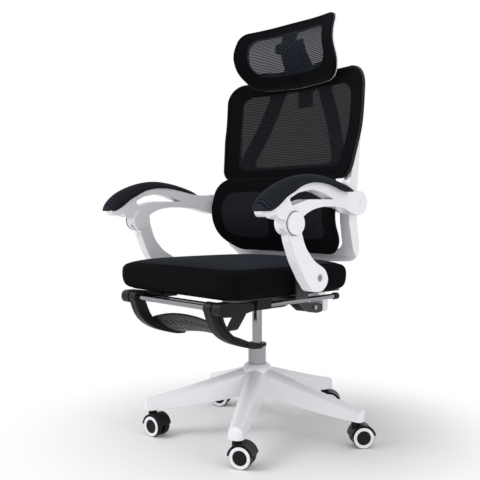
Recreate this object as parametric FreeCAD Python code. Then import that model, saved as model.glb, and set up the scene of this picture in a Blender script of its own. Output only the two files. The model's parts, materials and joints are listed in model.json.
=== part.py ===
import FreeCAD, Part
import math
import os

# Reclining office chair with a footrest under the seat.
# Millimetres, +Z up, the sitter faces -Y, +X is the sitter's left.
# The origin is the floor point under the gas lift. The left side is drawn and the right is its mirror.

os.makedirs("parts", exist_ok=True)
V = FreeCAD.Vector

# Clearances
RUN_FIT = 0.05          # radial, between a shaft and its bore
SOFT_GAP = 0.3          # between a soft piece and what carries it
FACE_GAP = 0.4          # between faces that pass each other

# Casters
WHEEL_R = 29.0
WHEEL_W = 18.5
WEB_W = 7.0             # the hood's web between the twin wheels
WHEEL_SIDE_GAP = 1.0    # from the web to each wheel
CASTER_TRAIL = 16.0
AXLE_R = 3.0
STEM_R = 5.5
STEM_TOP = 97.0
FENDER_GAP = 1.6
FENDER_WALL = 3.0
BOSS_R = 12.0
BOSS_TOP = 67.0
STEM_DEPTH = 10.0       # of the stem in the hood, clear of the wheels
RING_OUT_R = 27.3
RING_IN_R = 19.0
HEADINGS = (54.0, 27.0, 8.0, 40.0, 30.0)   # way that each caster trails in the rest pose

# Five-legged base and gas lift
LEG_ANGLES = (18.0, -54.0, -126.0, 90.0, 162.0)
STEM_CIRCLE_R = 297.0
LEG_TIP = 23.0          # from the stem to the end of the leg
LEG_END_R = 19.0
LEG_ROOT_R = 31.0
LEG_BOTTOM = 70.0
LEG_END_TOP = 101.0
HUB_R = 44.0
HUB_TOP = 194.0
HUB_BOTTOM = 112.0
BASE_WALL = 3.5
COLUMN_R = 25.0
COLUMN_TOP = 245.0
COLLAR_R = 27.0
COLLAR_H = 8.0
PISTON_R = 14.0
PISTON_NECK_R = 13.0
LIFT_STROKE = 70.0
BUTTON_R = 4.0

# Seat mechanism
MECH_BOTTOM = 357.0
MECH_HALF_W = 62.0
MECH_FRONT = -96.0
MECH_REAR = 114.0
MECH_WALL = 3.0
PLATE_T = 3.0
SEAT_BOTTOM = 415.0
STRAP_T = 4.0
STRAP_W = 44.0
NECK_TOP = MECH_BOTTOM + 20.0
BUTTON_TOP = NECK_TOP + 5.0

# Seat cushion
SEAT_HALF_W = 250.0
SEAT_FRONT = -325.0
SEAT_REAR = 132.0
SEAT_EDGE_TOP = 485.0
SEAT_CROWN = 503.0
SEAT_ROUND = 14.0
SEAT_FRONT_R = 55.0
SEAT_REAR_R = 45.0

# Armrest linkage: pivots in side view (y, z)
HINGE = (100.0, 398.0)
LEG_PIVOT = (-98.0, 466.0)
KNOB = (-195.0, 600.0)
ARM_REAR = (80.0, 650.0)
LINK_SLACK = 5.5        # room round the rear pin that the open pivot needs
BARREL_R = 28.0
DISC_T = 7.5
LEG_IN = 286.0
LEG_OUT = 319.0
BARREL_IN = LEG_IN - 2.0
BARREL_OUT = LEG_OUT + 6.0
PIVOT_PIN_R = 5.0
EYE_R = 15.0
TONGUE_IN = 298.0
TONGUE_T = 12.0
PAD_HALF_W = 32.0
PAD_MID_X = 312.0

# Footrest and its rails
RAIL_X = 190.0
RAIL_Z = 394.0
RAIL_R = 7.0
RAIL_FRONT_GAP = 1.0    # from the footrest shaft to the ends of the rails
RAIL_REAR = 120.0
FOOT_PIVOT = (-306.0, 395.0)
FOOT_SHAFT_R = 7.0
BRACE_BACK = 50.0       # from the footrest shaft to the brace between the rails
BRACE_R = 5.0
FOOT_HUB_R = 16.0
CARM_IN = 143.0
CARM_OUT = 170.0
GUIDE_BORE_R = RAIL_R + RUN_FIT
GUIDE_FRONT = -198.0
GUIDE_REAR = -148.0
PAD_SHEET = 4.0

# Back
RIM_T = 11.0
MESH_T = 1.6
BACK_AXIS_Y = -534.0    # the back is part of a round surface about this upright line
LUMBAR_AXIS_Y = -980.0
HEAD_AXIS_Y = -418.0
POST_HALF_W = 25.0
POST_T = 9.0
HEAD_PIVOT = (158.0, 1108.0)


def to_space(plane, u, v, at):
    """Put a point of a flat drawing into space."""
    if plane == "yz":
        return V(at, u, v)
    if plane == "xz":
        return V(u, at, v)
    return V(u, v, at)


def rounded_wire(corners, plane, at):
    """Closed outline of straight sides with an arc of its own radius in each corner."""
    edges = []
    starts = []
    ends = []
    mids = []
    count = len(corners)
    for i in range(count):
        u, v, r = corners[i]
        pu, pv = corners[i - 1][0], corners[i - 1][1]
        nu, nv = corners[(i + 1) % count][0], corners[(i + 1) % count][1]
        back = math.hypot(pu - u, pv - v)
        ahead = math.hypot(nu - u, nv - v)
        bu, bv = (pu - u) / back, (pv - v) / back
        au, av = (nu - u) / ahead, (nv - v) / ahead
        half = math.acos(max(-1.0, min(1.0, bu * au + bv * av))) / 2.0
        if r <= 0.0 or half > math.radians(89.9):
            starts.append((u, v))
            ends.append((u, v))
            mids.append(None)
            continue
        run = r / math.tan(half)
        su, sv = bu + au, bv + av
        size = math.hypot(su, sv)
        reach = r / math.sin(half) - r
        starts.append((u + bu * run, v + bv * run))
        ends.append((u + au * run, v + av * run))
        mids.append((u + su / size * reach, v + sv / size * reach))
    for i in range(count):
        if mids[i] is not None:
            a = to_space(plane, starts[i][0], starts[i][1], at)
            m = to_space(plane, mids[i][0], mids[i][1], at)
            b = to_space(plane, ends[i][0], ends[i][1], at)
            edges.append(Part.Arc(a, m, b).toShape())
        j = (i + 1) % count
        p = to_space(plane, ends[i][0], ends[i][1], at)
        q = to_space(plane, starts[j][0], starts[j][1], at)
        if p.distanceToPoint(q) > 0.001:
            edges.append(Part.LineSegment(p, q).toShape())
    return Part.Wire(edges)


def along(plane, length):
    """The way that a drawing is pushed out."""
    if plane == "yz":
        return V(length, 0, 0)
    if plane == "xz":
        return V(0, length, 0)
    return V(0, 0, length)


def prism(corners, plane, low, high):
    """Solid of an outline with rounded corners, between two levels."""
    return Part.Face(rounded_wire(corners, plane, low)).extrude(along(plane, high - low))


def curve(points, plane, at):
    """One smooth edge through a few points."""
    line = Part.BSplineCurve()
    line.interpolate([to_space(plane, p[0], p[1], at) for p in points])
    return line.toShape()


def straight(a, b, plane, at):
    """A straight edge between two points of a drawing."""
    return Part.LineSegment(to_space(plane, a[0], a[1], at), to_space(plane, b[0], b[1], at)).toShape()


def rod(axis, centre, r, low, high):
    """Round bar along x, y or z; the centre is given in the two other directions."""
    if axis == "x":
        return Part.makeCylinder(r, high - low, V(low, centre[0], centre[1]), V(1, 0, 0))
    if axis == "y":
        return Part.makeCylinder(r, high - low, V(centre[0], low, centre[1]), V(0, 1, 0))
    return Part.makeCylinder(r, high - low, V(centre[0], centre[1], low), V(0, 0, 1))


def block(x0, x1, y0, y1, z0, z1):
    """Plain box between its limits."""
    return Part.makeBox(x1 - x0, y1 - y0, z1 - z0, V(x0, y0, z0))


def fuse(shapes):
    """One solid of several, with the seams taken out."""
    body = shapes[0]
    for piece in shapes[1:]:
        body = body.fuse(piece)
    return body.removeSplitter()


def mirrored(shape):
    """The same piece on the other side of the chair."""
    return shape.mirror(V(0, 0, 0), V(1, 0, 0))


def both_sides(shape):
    """A piece with its mirror, as separate solids of one part."""
    return Part.makeCompound([shape, mirrored(shape)])


def one_piece(shape):
    """The single solid of a result."""
    return shape.Solids[0] if len(shape.Solids) == 1 else shape


def write(name, shape):
    """Keep one named piece."""
    one_piece(shape).exportStep(os.path.join("parts", name + ".step"))


def curved_slab(points, start, thick, axis_y, half_angle):
    """Sheet that is hollow towards the sitter: a side profile swung about an upright line."""
    front = [(p[0] + start, p[1]) for p in points]
    back = [(p[0] + start + thick, p[1]) for p in points]
    edges = [
        curve(front, "yz", 0.0),
        straight(front[-1], back[-1], "yz", 0.0),
        curve(back[::-1], "yz", 0.0),
        straight(back[0], front[0], "yz", 0.0),
    ]
    face = Part.Face(Part.Wire(edges))
    face.rotate(V(0, axis_y, 0), V(0, 0, 1), -half_angle)
    return face.revolve(V(0, axis_y, 0), V(0, 0, 1), 2.0 * half_angle)


# Base

def leg_section(r, half_w, top, bottom, crown):
    """Arched cross section of a base leg at one distance from the middle."""
    shoulder = half_w * 0.86
    a = V(r, -half_w, bottom)
    b = V(r, -shoulder, top - crown)
    m = V(r, 0, top)
    c = V(r, shoulder, top - crown)
    d = V(r, half_w, bottom)
    edges = [
        Part.LineSegment(a, b).toShape(),
        Part.Arc(b, m, c).toShape(),
        Part.LineSegment(c, d).toShape(),
        Part.LineSegment(d, a).toShape(),
    ]
    return Part.Wire(edges)


def leg_loft(inset):
    """Leg from the hub to past the caster, or its hollow when inset is a wall."""
    stations = ((16.0, 1.0), (115.0, 0.66), (215.0, 0.32), (STEM_CIRCLE_R + LEG_TIP, 0.0))
    wires = []
    for r, share in stations:
        half_w = LEG_END_R + 1.0 + (LEG_ROOT_R - LEG_END_R - 1.0) * share
        top = LEG_END_TOP + (HUB_TOP - 6.0 - LEG_END_TOP) * share
        bottom = LEG_BOTTOM + (HUB_BOTTOM - LEG_BOTTOM) * share ** 1.25
        crown = 8.0 + 6.0 * share
        wires.append(leg_section(r, half_w - inset, top - inset, bottom - (2.0 if inset else 0.0), crown))
    return Part.makeLoft(wires, True)


def base_leg():
    """One leg with its hollow underside, cross ribs and the socket of the caster stem."""
    end = STEM_CIRCLE_R + LEG_TIP
    tip = prism([(10, -52, 0), (end - 0.5, -LEG_END_R - 1, LEG_END_R * 0.95), (end - 0.5, LEG_END_R + 1, LEG_END_R * 0.95),
                 (10, 52, 0)], "xy", 60.0, HUB_TOP)
    nose = prism([(10, 60, 0), (end - 0.5, 60, 0), (end - 0.5, LEG_END_TOP + 1, 22), (10, HUB_TOP + 30, 0)],
                 "xz", -60, 60)
    body = leg_loft(0.0).common(tip).common(nose)
    room = prism([(HUB_R - 6, -60, 0), (STEM_CIRCLE_R - 17, -60, 0), (STEM_CIRCLE_R - 17, 60, 0), (HUB_R - 6, 60, 0)],
                 "xy", 60.0, HUB_TOP)
    hollow = leg_loft(BASE_WALL).common(room)
    for r in (118.0, 182.0, 246.0):
        hollow = hollow.cut(block(r - 1.5, r + 1.5, -60, 60, 60, HUB_TOP))
    body = body.cut(hollow)
    return body.cut(rod("z", (STEM_CIRCLE_R, 0), STEM_R, 60, STEM_TOP + 0.5))


def base_star():
    """White moulded star: hub, five legs and the bore for the lift column."""
    hub_side = [(0, HUB_BOTTOM), (HUB_R, HUB_BOTTOM), (HUB_R, HUB_TOP - 22)]
    wire = Part.Wire([
        straight(hub_side[0], hub_side[1], "xz", 0),
        straight(hub_side[1], hub_side[2], "xz", 0),
        Part.Arc(V(HUB_R, 0, HUB_TOP - 22), V(HUB_R - 5, 0, HUB_TOP - 8), V(HUB_R - 12, 0, HUB_TOP)).toShape(),
        straight((HUB_R - 12, HUB_TOP), (0, HUB_TOP), "xz", 0),
        straight((0, HUB_TOP), (0, HUB_BOTTOM), "xz", 0),
    ])
    star = Part.Face(wire).revolve(V(0, 0, 0), V(0, 0, 1), 360)
    for angle in LEG_ANGLES:
        leg = base_leg()
        leg.rotate(V(0, 0, 0), V(0, 0, 1), angle)
        star = star.fuse(leg)
    star = star.removeSplitter()
    star = star.cut(rod("z", (0, 0), COLUMN_R, HUB_BOTTOM - 1, HUB_TOP + 1))
    return star


def column():
    """Grey outer tube of the gas lift."""
    body = rod("z", (0, 0), COLUMN_R, HUB_BOTTOM, COLUMN_TOP)
    body = body.cut(rod("z", (0, 0), PISTON_R + RUN_FIT, HUB_BOTTOM + 8, COLUMN_TOP + 1))
    rim = [e for e in body.Edges if abs(e.BoundBox.ZMin - HUB_BOTTOM) < 0.01 and e.BoundBox.XMax > COLUMN_R - 0.1]
    return body.makeChamfer(2.0, rim)


def column_collar():
    """Black ring that guides the tube at the top of the column."""
    ring = rod("z", (0, 0), COLLAR_R, COLUMN_TOP, COLUMN_TOP + COLLAR_H)
    top = [e for e in ring.Edges if e.BoundBox.ZMin > COLUMN_TOP + COLLAR_H - 0.1]
    ring = ring.makeFillet(2.5, top)
    return ring.cut(rod("z", (0, 0), PISTON_R + RUN_FIT, COLUMN_TOP - 1, COLUMN_TOP + COLLAR_H + 1))


def caster_stems():
    """Five steel stems with their flanges, pressed into the leg ends."""
    stems = []
    for angle in LEG_ANGLES:
        stem = rod("z", (0, 0), STEM_R, BOSS_TOP - STEM_DEPTH, STEM_TOP)
        flange = rod("z", (0, 0), 9.0, BOSS_TOP + FACE_GAP, LEG_BOTTOM)
        body = fuse([stem, flange])
        turn = math.radians(angle)
        body.translate(V(STEM_CIRCLE_R * math.cos(turn), STEM_CIRCLE_R * math.sin(turn), 0))
        stems.append(body)
    return Part.makeCompound(stems)


def piston_tube():
    """Chrome tube of the lift, with the narrower neck that seats in the mechanism."""
    body = rod("z", (0, 0), PISTON_R, HUB_BOTTOM + 8 + LIFT_STROKE + 2, MECH_BOTTOM - 0.2)
    neck = rod("z", (0, 0), PISTON_NECK_R, MECH_BOTTOM - 0.2, NECK_TOP)
    body = fuse([body, neck])
    return body.cut(rod("z", (0, 0), BUTTON_R + RUN_FIT, NECK_TOP - 14, NECK_TOP + 1))


def valve_button():
    """Button on top of the lift that the lever presses."""
    pin = rod("z", (0, 0), BUTTON_R, NECK_TOP - 9, BUTTON_TOP)
    top = [e for e in pin.Edges if e.BoundBox.ZMin > BUTTON_TOP - 0.1]
    return pin.makeFillet(1.0, top)


# Casters, drawn with the stem on the origin and the wheels trailing along +X

def place_caster(shape, k):
    """Turn a caster piece to its heading and move it under its leg."""
    moved = shape.copy()
    moved.rotate(V(0, 0, 0), V(0, 0, 1), HEADINGS[k])
    turn = math.radians(LEG_ANGLES[k])
    moved.translate(V(STEM_CIRCLE_R * math.cos(turn), STEM_CIRCLE_R * math.sin(turn), 0))
    return moved


def caster_hood():
    """Black housing: stem socket, web between the wheels and the fender over them."""
    half = WEB_W / 2 + WHEEL_SIDE_GAP + WHEEL_W
    inner = WHEEL_R + FENDER_GAP
    outer = inner + FENDER_WALL
    centre = V(CASTER_TRAIL, -half, WHEEL_R)
    fender = Part.makeCylinder(outer, 2 * half, centre, V(0, 1, 0))
    fender = fender.cut(Part.makeCylinder(inner, 2 * half, centre, V(0, 1, 0)))
    keep = prism([(CASTER_TRAIL, WHEEL_R, 0), (CASTER_TRAIL + 60, WHEEL_R + 9, 0), (CASTER_TRAIL + 60, 90, 0),
                  (CASTER_TRAIL - 60, 90, 0), (CASTER_TRAIL - 60, WHEEL_R + 4, 0)], "xz", -half, half)
    fender = fender.common(keep)
    web = prism([(CASTER_TRAIL - 9, WHEEL_R - 9, 8), (CASTER_TRAIL + 9, WHEEL_R - 9, 8), (CASTER_TRAIL + 24, 52, 6),
                 (CASTER_TRAIL + 12, outer + WHEEL_R - 3, 0), (-BOSS_R + 4, outer + WHEEL_R - 3, 0),
                 (-BOSS_R + 4, 44, 4)], "xz", -WEB_W / 2, WEB_W / 2)
    web = web.common(Part.makeCylinder(outer - 1, 2 * half, centre, V(0, 1, 0)).fuse(
        block(-BOSS_R, BOSS_R, -WEB_W, WEB_W, 30, BOSS_TOP)))
    boss = rod("z", (0, 0), BOSS_R, 40.0, BOSS_TOP)
    sweep = Part.makeCylinder(inner, WHEEL_W + 0.01, V(CASTER_TRAIL, WEB_W / 2, WHEEL_R), V(0, 1, 0))
    other = Part.makeCylinder(inner, WHEEL_W + 0.01, V(CASTER_TRAIL, -WEB_W / 2 - WHEEL_W - 0.01, WHEEL_R), V(0, 1, 0))
    boss = boss.cut(sweep).cut(other)
    body = fuse([fender, web, boss])
    body = body.cut(rod("z", (0, 0), STEM_R + RUN_FIT, BOSS_TOP - STEM_DEPTH - FACE_GAP, BOSS_TOP + 1))
    return body.cut(rod("y", (CASTER_TRAIL, WHEEL_R), AXLE_R + RUN_FIT, -half, half))


def half_wheel(side):
    """One of the twin wheels: rounded tread, dished face and a hub disc."""
    near = WEB_W / 2 + WHEEL_SIDE_GAP
    far = near + WHEEL_W
    edges = [
        straight((0, near), (WHEEL_R - 2, near), "xy", 0),
        Part.Arc(V(WHEEL_R - 2, near, 0), V(WHEEL_R - 0.6, near + 0.6, 0), V(WHEEL_R, near + 2, 0)).toShape(),
        straight((WHEEL_R, near + 2), (WHEEL_R, far - 3), "xy", 0),
        Part.Arc(V(WHEEL_R, far - 3, 0), V(WHEEL_R - 0.5, far - 0.9, 0), V(WHEEL_R - 1.6, far, 0)).toShape(),
        straight((WHEEL_R - 1.6, far), (RING_OUT_R, far), "xy", 0),
        straight((RING_OUT_R, far), (RING_OUT_R, far - 1.5), "xy", 0),
        straight((RING_OUT_R, far - 1.5), (RING_IN_R, far - 1.5), "xy", 0),
        straight((RING_IN_R, far - 1.5), (RING_IN_R - 2, far - 0.5), "xy", 0),
        straight((RING_IN_R - 2, far - 0.5), (0, far - 0.5), "xy", 0),
        straight((0, far - 0.5), (0, near), "xy", 0),
    ]
    wheel = Part.Face(Part.Wire(edges)).revolve(V(0, 0, 0), V(0, 1, 0), 360)
    if side < 0:
        wheel = wheel.mirror(V(0, 0, 0), V(0, 1, 0))
    wheel.translate(V(CASTER_TRAIL, 0, WHEEL_R))
    return wheel


def caster_wheels():
    """Twin wheels, each with its half of the axle; the halves meet inside the web."""
    near = WEB_W / 2 + WHEEL_SIDE_GAP
    left = rod("y", (CASTER_TRAIL, WHEEL_R), AXLE_R, RUN_FIT, near + 2)
    right = rod("y", (CASTER_TRAIL, WHEEL_R), AXLE_R, -near - 2, -RUN_FIT)
    return Part.makeCompound([fuse([half_wheel(1), left]), fuse([half_wheel(-1), right])])


def caster_rings():
    """White rings set in the wheel faces."""
    far = WEB_W / 2 + WHEEL_SIDE_GAP + WHEEL_W
    rings = []
    for low in (far - 1.5, -far - 0.6):
        ring = rod("y", (CASTER_TRAIL, WHEEL_R), RING_OUT_R, low, low + 2.1)
        rings.append(ring.cut(rod("y", (CASTER_TRAIL, WHEEL_R), RING_IN_R, low - 1, low + 3.1)))
    return Part.makeCompound(rings)


# Seat mechanism

def mechanism_housing():
    """Open pressed tray under the seat: lift socket, lever lugs and hinge ears."""
    top = SEAT_BOTTOM - PLATE_T
    side = [(MECH_FRONT, top, 0), (MECH_FRONT, 384, 10), (MECH_FRONT + 40, MECH_BOTTOM, 16),
            (48, MECH_BOTTOM, 16), (MECH_REAR, 378, 12), (MECH_REAR, top, 0)]
    room = [(MECH_FRONT + MECH_WALL, top + 1, 0), (MECH_FRONT + MECH_WALL, 385, 8),
            (MECH_FRONT + 41, MECH_BOTTOM + MECH_WALL, 14), (47, MECH_BOTTOM + MECH_WALL, 14),
            (MECH_REAR - 20, 379, 10), (MECH_REAR - 20, top + 1, 0)]
    body = prism(side, "yz", -MECH_HALF_W, MECH_HALF_W)
    body = body.cut(prism(room, "yz", -MECH_HALF_W + MECH_WALL, MECH_HALF_W - MECH_WALL))
    notch = block(-BRACKET_HALF_W - FACE_GAP, BRACKET_HALF_W + FACE_GAP, 60, MECH_REAR + 1, MECH_BOTTOM - 1, top + 1)
    body = body.cut(notch)
    socket = rod("z", (0, 0), PISTON_NECK_R + 7, MECH_BOTTOM, NECK_TOP - 2)
    lugs = [block(LEVER_HINGE_X - 5, LEVER_HINGE_X + 5, y, y + 4, MECH_BOTTOM + 1, LEVER_Z + 7)
            for y in (CAM_Y0 - 4 - FACE_GAP, CAM_Y1 + FACE_GAP)]
    body = fuse([body, socket] + lugs)
    body = body.cut(rod("z", (0, 0), PISTON_NECK_R + RUN_FIT, MECH_BOTTOM - 1, NECK_TOP))
    body = body.cut(rod("y", (LEVER_HINGE_X, LEVER_Z), CAM_PIN_R, CAM_Y0 - 8, CAM_Y1 + 8))
    window = prism([(LEVER_Y - 9, LEVER_Z - 9, 4), (LEVER_Y + 9, LEVER_Z - 9, 4), (LEVER_Y + 9, LEVER_Z + 13, 4),
                    (LEVER_Y - 9, LEVER_Z + 13, 4)], "yz", -MECH_HALF_W - 1, -MECH_HALF_W + MECH_WALL + 1)
    body = body.cut(window)
    return body.cut(rod("x", HINGE, PIVOT_PIN_R, -MECH_HALF_W - 1, MECH_HALF_W + 1))


def seat_plate():
    """Steel plate that carries the cushion, with pressed windows."""
    z0 = SEAT_BOTTOM - PLATE_T
    plate = prism([(-212, -262, 40), (212, -262, 40), (212, 126, 30), (-212, 126, 30)], "xy", z0, SEAT_BOTTOM - SOFT_GAP)
    for side in (-1, 1):
        window = prism([(side * 84, -215, 14), (side * 164, -215, 14), (side * 164, -160, 14), (side * 84, -160, 14)],
                       "xy", z0 - 1, SEAT_BOTTOM)
        plate = plate.cut(window)
        window = prism([(side * 84, 20, 14), (side * 164, 20, 14), (side * 164, 95, 14), (side * 84, 95, 14)],
                       "xy", z0 - 1, SEAT_BOTTOM)
        plate = plate.cut(window)
    return plate


def cushion_ring(inset, z):
    """Outline of the cushion at one level."""
    w = SEAT_HALF_W - inset
    front = SEAT_FRONT + inset * 1.1
    rear = SEAT_REAR - inset
    r1 = SEAT_FRONT_R - inset * 0.45
    r2 = SEAT_REAR_R - inset * 0.45
    return rounded_wire([(-w, front, r1), (w, front, r1), (w, rear, r2), (-w, rear, r2)], "xy", z)


def crown_section(y, edge, middle):
    """Arched section across the seat at one place from front to rear."""
    w = SEAT_HALF_W + 5
    a, b = V(-w, y, SEAT_BOTTOM), V(-w, y, edge)
    c, d = V(w, y, edge), V(w, y, SEAT_BOTTOM)
    edges = [
        Part.LineSegment(a, b).toShape(),
        Part.Arc(b, V(0, y, middle), c).toShape(),
        Part.LineSegment(c, d).toShape(),
        Part.LineSegment(d, a).toShape(),
    ]
    return Part.Wire(edges)


def seat_cushion():
    """Upholstered seat: drawn in below, full at the side, with a crowned and falling top."""
    levels = ((14.0, SEAT_BOTTOM), (3.5, SEAT_BOTTOM + 14), (0.0, SEAT_BOTTOM + 32), (0.5, SEAT_BOTTOM + 56),
              (4.0, SEAT_BOTTOM + 76), (9.0, SEAT_BOTTOM + 96))
    body = Part.makeLoft([cushion_ring(inset, z) for inset, z in levels], True)
    drop = SEAT_CROWN - SEAT_EDGE_TOP
    stations = ((SEAT_FRONT - 5, SEAT_EDGE_TOP - 6, SEAT_CROWN - 0.7 * drop),
                (SEAT_FRONT + 75, SEAT_EDGE_TOP, SEAT_CROWN - 0.15 * drop), (SEAT_FRONT + 200, SEAT_EDGE_TOP, SEAT_CROWN),
                (SEAT_REAR - 120, SEAT_EDGE_TOP, SEAT_CROWN - 0.1 * drop), (SEAT_REAR + 5, SEAT_EDGE_TOP - 4, SEAT_CROWN - 0.5 * drop))
    crown = Part.makeLoft([crown_section(*st) for st in stations], True)
    body = body.common(crown)
    rim = [e for e in body.Edges if e.BoundBox.ZMin > SEAT_EDGE_TOP - 12]
    return one_piece(body).makeFillet(SEAT_ROUND, rim)


def arm_brackets():
    """Steel straps from under the seat plate up beside the cushion to the leg pivots."""
    y, z = LEG_PIVOT
    under = SEAT_BOTTOM - PLATE_T
    outer = STRAP_X + STRAP_T
    profile = [(110, under, 0), (STRAP_X, under, 4), (STRAP_X, z + 22, 0), (outer, z + 22, 0),
               (outer, under - STRAP_T, 4 + STRAP_T), (110, under - STRAP_T, 0)]
    strap = prism(profile, "xz", y - STRAP_W / 2, y + STRAP_W / 2)
    shape = prism([(y - STRAP_W / 2, under - 10, 0), (y + STRAP_W / 2, under - 10, 0),
                   (y + STRAP_W / 2, z + 20, STRAP_W / 2 - 1), (y - STRAP_W / 2, z + 20, STRAP_W / 2 - 1)],
                  "yz", 100, outer + 1)
    strap = strap.common(shape)
    strap = strap.cut(rod("x", LEG_PIVOT, PIVOT_PIN_R, STRAP_X - 1, outer + 1))
    return both_sides(strap)


def seat_bolts():
    """Leg pivot bolts: head in the recess of the leg, shank, and the spacer bush."""
    outer = STRAP_X + STRAP_T
    shank = rod("x", LEG_PIVOT, PIVOT_PIN_R, STRAP_X - 0.5, LEG_OUT - 3)
    bush = rod("x", LEG_PIVOT, 10.0, outer, LEG_IN - FACE_GAP)
    nut = rod("x", LEG_PIVOT, 8.0, STRAP_X - 4.5, STRAP_X)
    head = rod("x", LEG_PIVOT, 7.5, LEG_OUT - 6 + FACE_GAP, LEG_OUT - 1.5)
    head = head.cut(prism([(LEG_PIVOT[0] + 3.6 * math.cos(math.radians(a)), LEG_PIVOT[1] + 3.6 * math.sin(math.radians(a)), 0)
                           for a in range(0, 360, 60)], "yz", LEG_OUT - 3.5, LEG_OUT))
    return both_sides(fuse([shank, bush, nut, head]))


def rail_guides():
    """Black blocks under the seat plate that the footrest rails slide in."""
    outline = [(RAIL_X - 15, SEAT_BOTTOM - PLATE_T, 0), (RAIL_X - 12, RAIL_Z - 11, 7),
               (RAIL_X + 12, RAIL_Z - 11, 7), (RAIL_X + 15, SEAT_BOTTOM - PLATE_T, 0)]
    guide = prism(outline, "xz", GUIDE_FRONT, GUIDE_REAR)
    return both_sides(guide.cut(rod("y", (RAIL_X, RAIL_Z), GUIDE_BORE_R, GUIDE_FRONT - 1, GUIDE_REAR + 1)))


# Height lever

LEVER_HINGE_X = -34.0
LEVER_Z = 386.0
LEVER_Y = 30.0
CAM_Y0 = -7.0
CAM_Y1 = 38.0
CAM_PIN_R = 3.0
LEVER_ROD_R = 4.0
STRAP_X = 258.0
BRACKET_HALF_W = 24.0


def lever_cam():
    """Bell crank in the tray: its finger lies over the lift's button, its tube holds the lever."""
    hub = rod("y", (LEVER_HINGE_X, LEVER_Z), 7.0, CAM_Y0, CAM_Y1)
    finger = prism([(LEVER_HINGE_X, LEVER_Z - 3, 0), (7, BUTTON_TOP + 0.3, 1), (7, BUTTON_TOP + 4.3, 1),
                    (LEVER_HINGE_X, LEVER_Z + 5, 0)], "xz", CAM_Y0, -CAM_Y0)
    tube = rod("x", (LEVER_Y, LEVER_Z), 6.2, LEVER_HINGE_X - 22, LEVER_HINGE_X - 2)
    body = fuse([hub, finger, tube])
    body = body.cut(rod("x", (LEVER_Y, LEVER_Z), LEVER_ROD_R + RUN_FIT, LEVER_HINGE_X - 30, LEVER_HINGE_X + 1))
    pin = rod("y", (LEVER_HINGE_X, LEVER_Z), CAM_PIN_R - RUN_FIT, CAM_Y0 - 4 - FACE_GAP, CAM_Y1 + 4 + FACE_GAP)
    return fuse([body, pin])


def bent_rod(points, r):
    """Round bar through a few points, with a ball in each bend."""
    pieces = []
    for i in range(len(points) - 1):
        a, b = points[i], points[i + 1]
        pieces.append(Part.makeCylinder(r, (b - a).Length, a, b - a))
        if i:
            pieces.append(Part.makeSphere(r, a))
    return fuse(pieces)


def lever_path():
    """Middle line of the height lever: straight through the tray wall, then down to the grip."""
    return [V(LEVER_HINGE_X - 3, LEVER_Y, LEVER_Z), V(-68, LEVER_Y, LEVER_Z), V(-76, LEVER_Y, LEVER_Z - 8),
            V(-84, LEVER_Y, LEVER_Z - 34)]


def lever_rod():
    """Steel rod of the height lever."""
    return bent_rod(lever_path(), LEVER_ROD_R)


def lever_paddle():
    """Black flat grip on the end of the lever."""
    side = [(-88, 368, 5), (-76, 367, 5), (-80, 338, 20), (-104, 302, 22), (-128, 270, 8), (-142, 263, 8),
            (-150, 274, 8), (-130, 304, 20), (-106, 334, 22), (-92, 352, 10)]
    grip = prism(side, "xz", LEVER_Y - 14, LEVER_Y + 14)
    end = lever_path()[-1]
    way = end - lever_path()[-2]
    return grip.cut(Part.makeCylinder(LEVER_ROD_R, way.Length, lever_path()[-2], way))


# Footrest

def rail_front():
    """Front end of the rails, just behind the footrest shaft."""
    return FOOT_PIVOT[0] + FOOT_SHAFT_R + RAIL_FRONT_GAP


def rails():
    """Chrome rails that carry the footrest."""
    return both_sides(rod("y", (RAIL_X, RAIL_Z), RAIL_R, rail_front(), RAIL_REAR))


def rail_end_caps():
    """Black caps on the rear ends of the rails."""
    cap = rod("y", (RAIL_X, RAIL_Z), RAIL_R + 2.5, RAIL_REAR - 12, RAIL_REAR + 5)
    end = [e for e in cap.Edges if e.BoundBox.YMin > RAIL_REAR + 4.9]
    cap = cap.makeFillet(3.0, end)
    return both_sides(cap.cut(rod("y", (RAIL_X, RAIL_Z), RAIL_R, RAIL_REAR - 13, RAIL_REAR)))


def rail_connectors():
    """Black tapered heads on the rails that hold the footrest shaft."""
    y, z = FOOT_PIVOT
    side = [(y - FOOT_HUB_R, z + FOOT_HUB_R, FOOT_HUB_R * 0.9), (y - FOOT_HUB_R, z - FOOT_HUB_R, FOOT_HUB_R * 0.9),
            (y + 22, z - FOOT_HUB_R - 3, 8), (y + 70, RAIL_Z - 14, 20), (y + 102, RAIL_Z - 9.5, 3),
            (y + 102, RAIL_Z + 9.5, 3), (y + 60, RAIL_Z + 11.5, 20), (y + 20, z + FOOT_HUB_R, 10)]
    head = prism(side, "yz", RAIL_X - 15, RAIL_X + 15)
    plan = [(RAIL_X - 15, y - 30, 0), (RAIL_X + 15, y - 30, 0), (RAIL_X + 15, y + 30, 20), (RAIL_X + 10, y + 103, 0),
            (RAIL_X - 10, y + 103, 0), (RAIL_X - 15, y + 30, 20)]
    head = head.common(prism(plan, "xy", 340, 440))
    head = head.cut(rod("y", (RAIL_X, RAIL_Z), RAIL_R, rail_front(), RAIL_REAR))
    head = head.cut(rod("x", (y + BRACE_BACK, RAIL_Z), BRACE_R, CARM_OUT, RAIL_X - RAIL_R))
    return both_sides(head.cut(rod("x", FOOT_PIVOT, FOOT_SHAFT_R, CARM_OUT, RAIL_X)))


def cross_bars():
    """Chrome footrest shaft between the connectors and the brace behind it."""
    shaft = rod("x", FOOT_PIVOT, FOOT_SHAFT_R, -RAIL_X, RAIL_X)
    brace = rod("x", (FOOT_PIVOT[0] + BRACE_BACK, RAIL_Z), BRACE_R, -RAIL_X + RAIL_R, RAIL_X - RAIL_R)
    return Part.makeCompound([shaft, brace])


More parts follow.
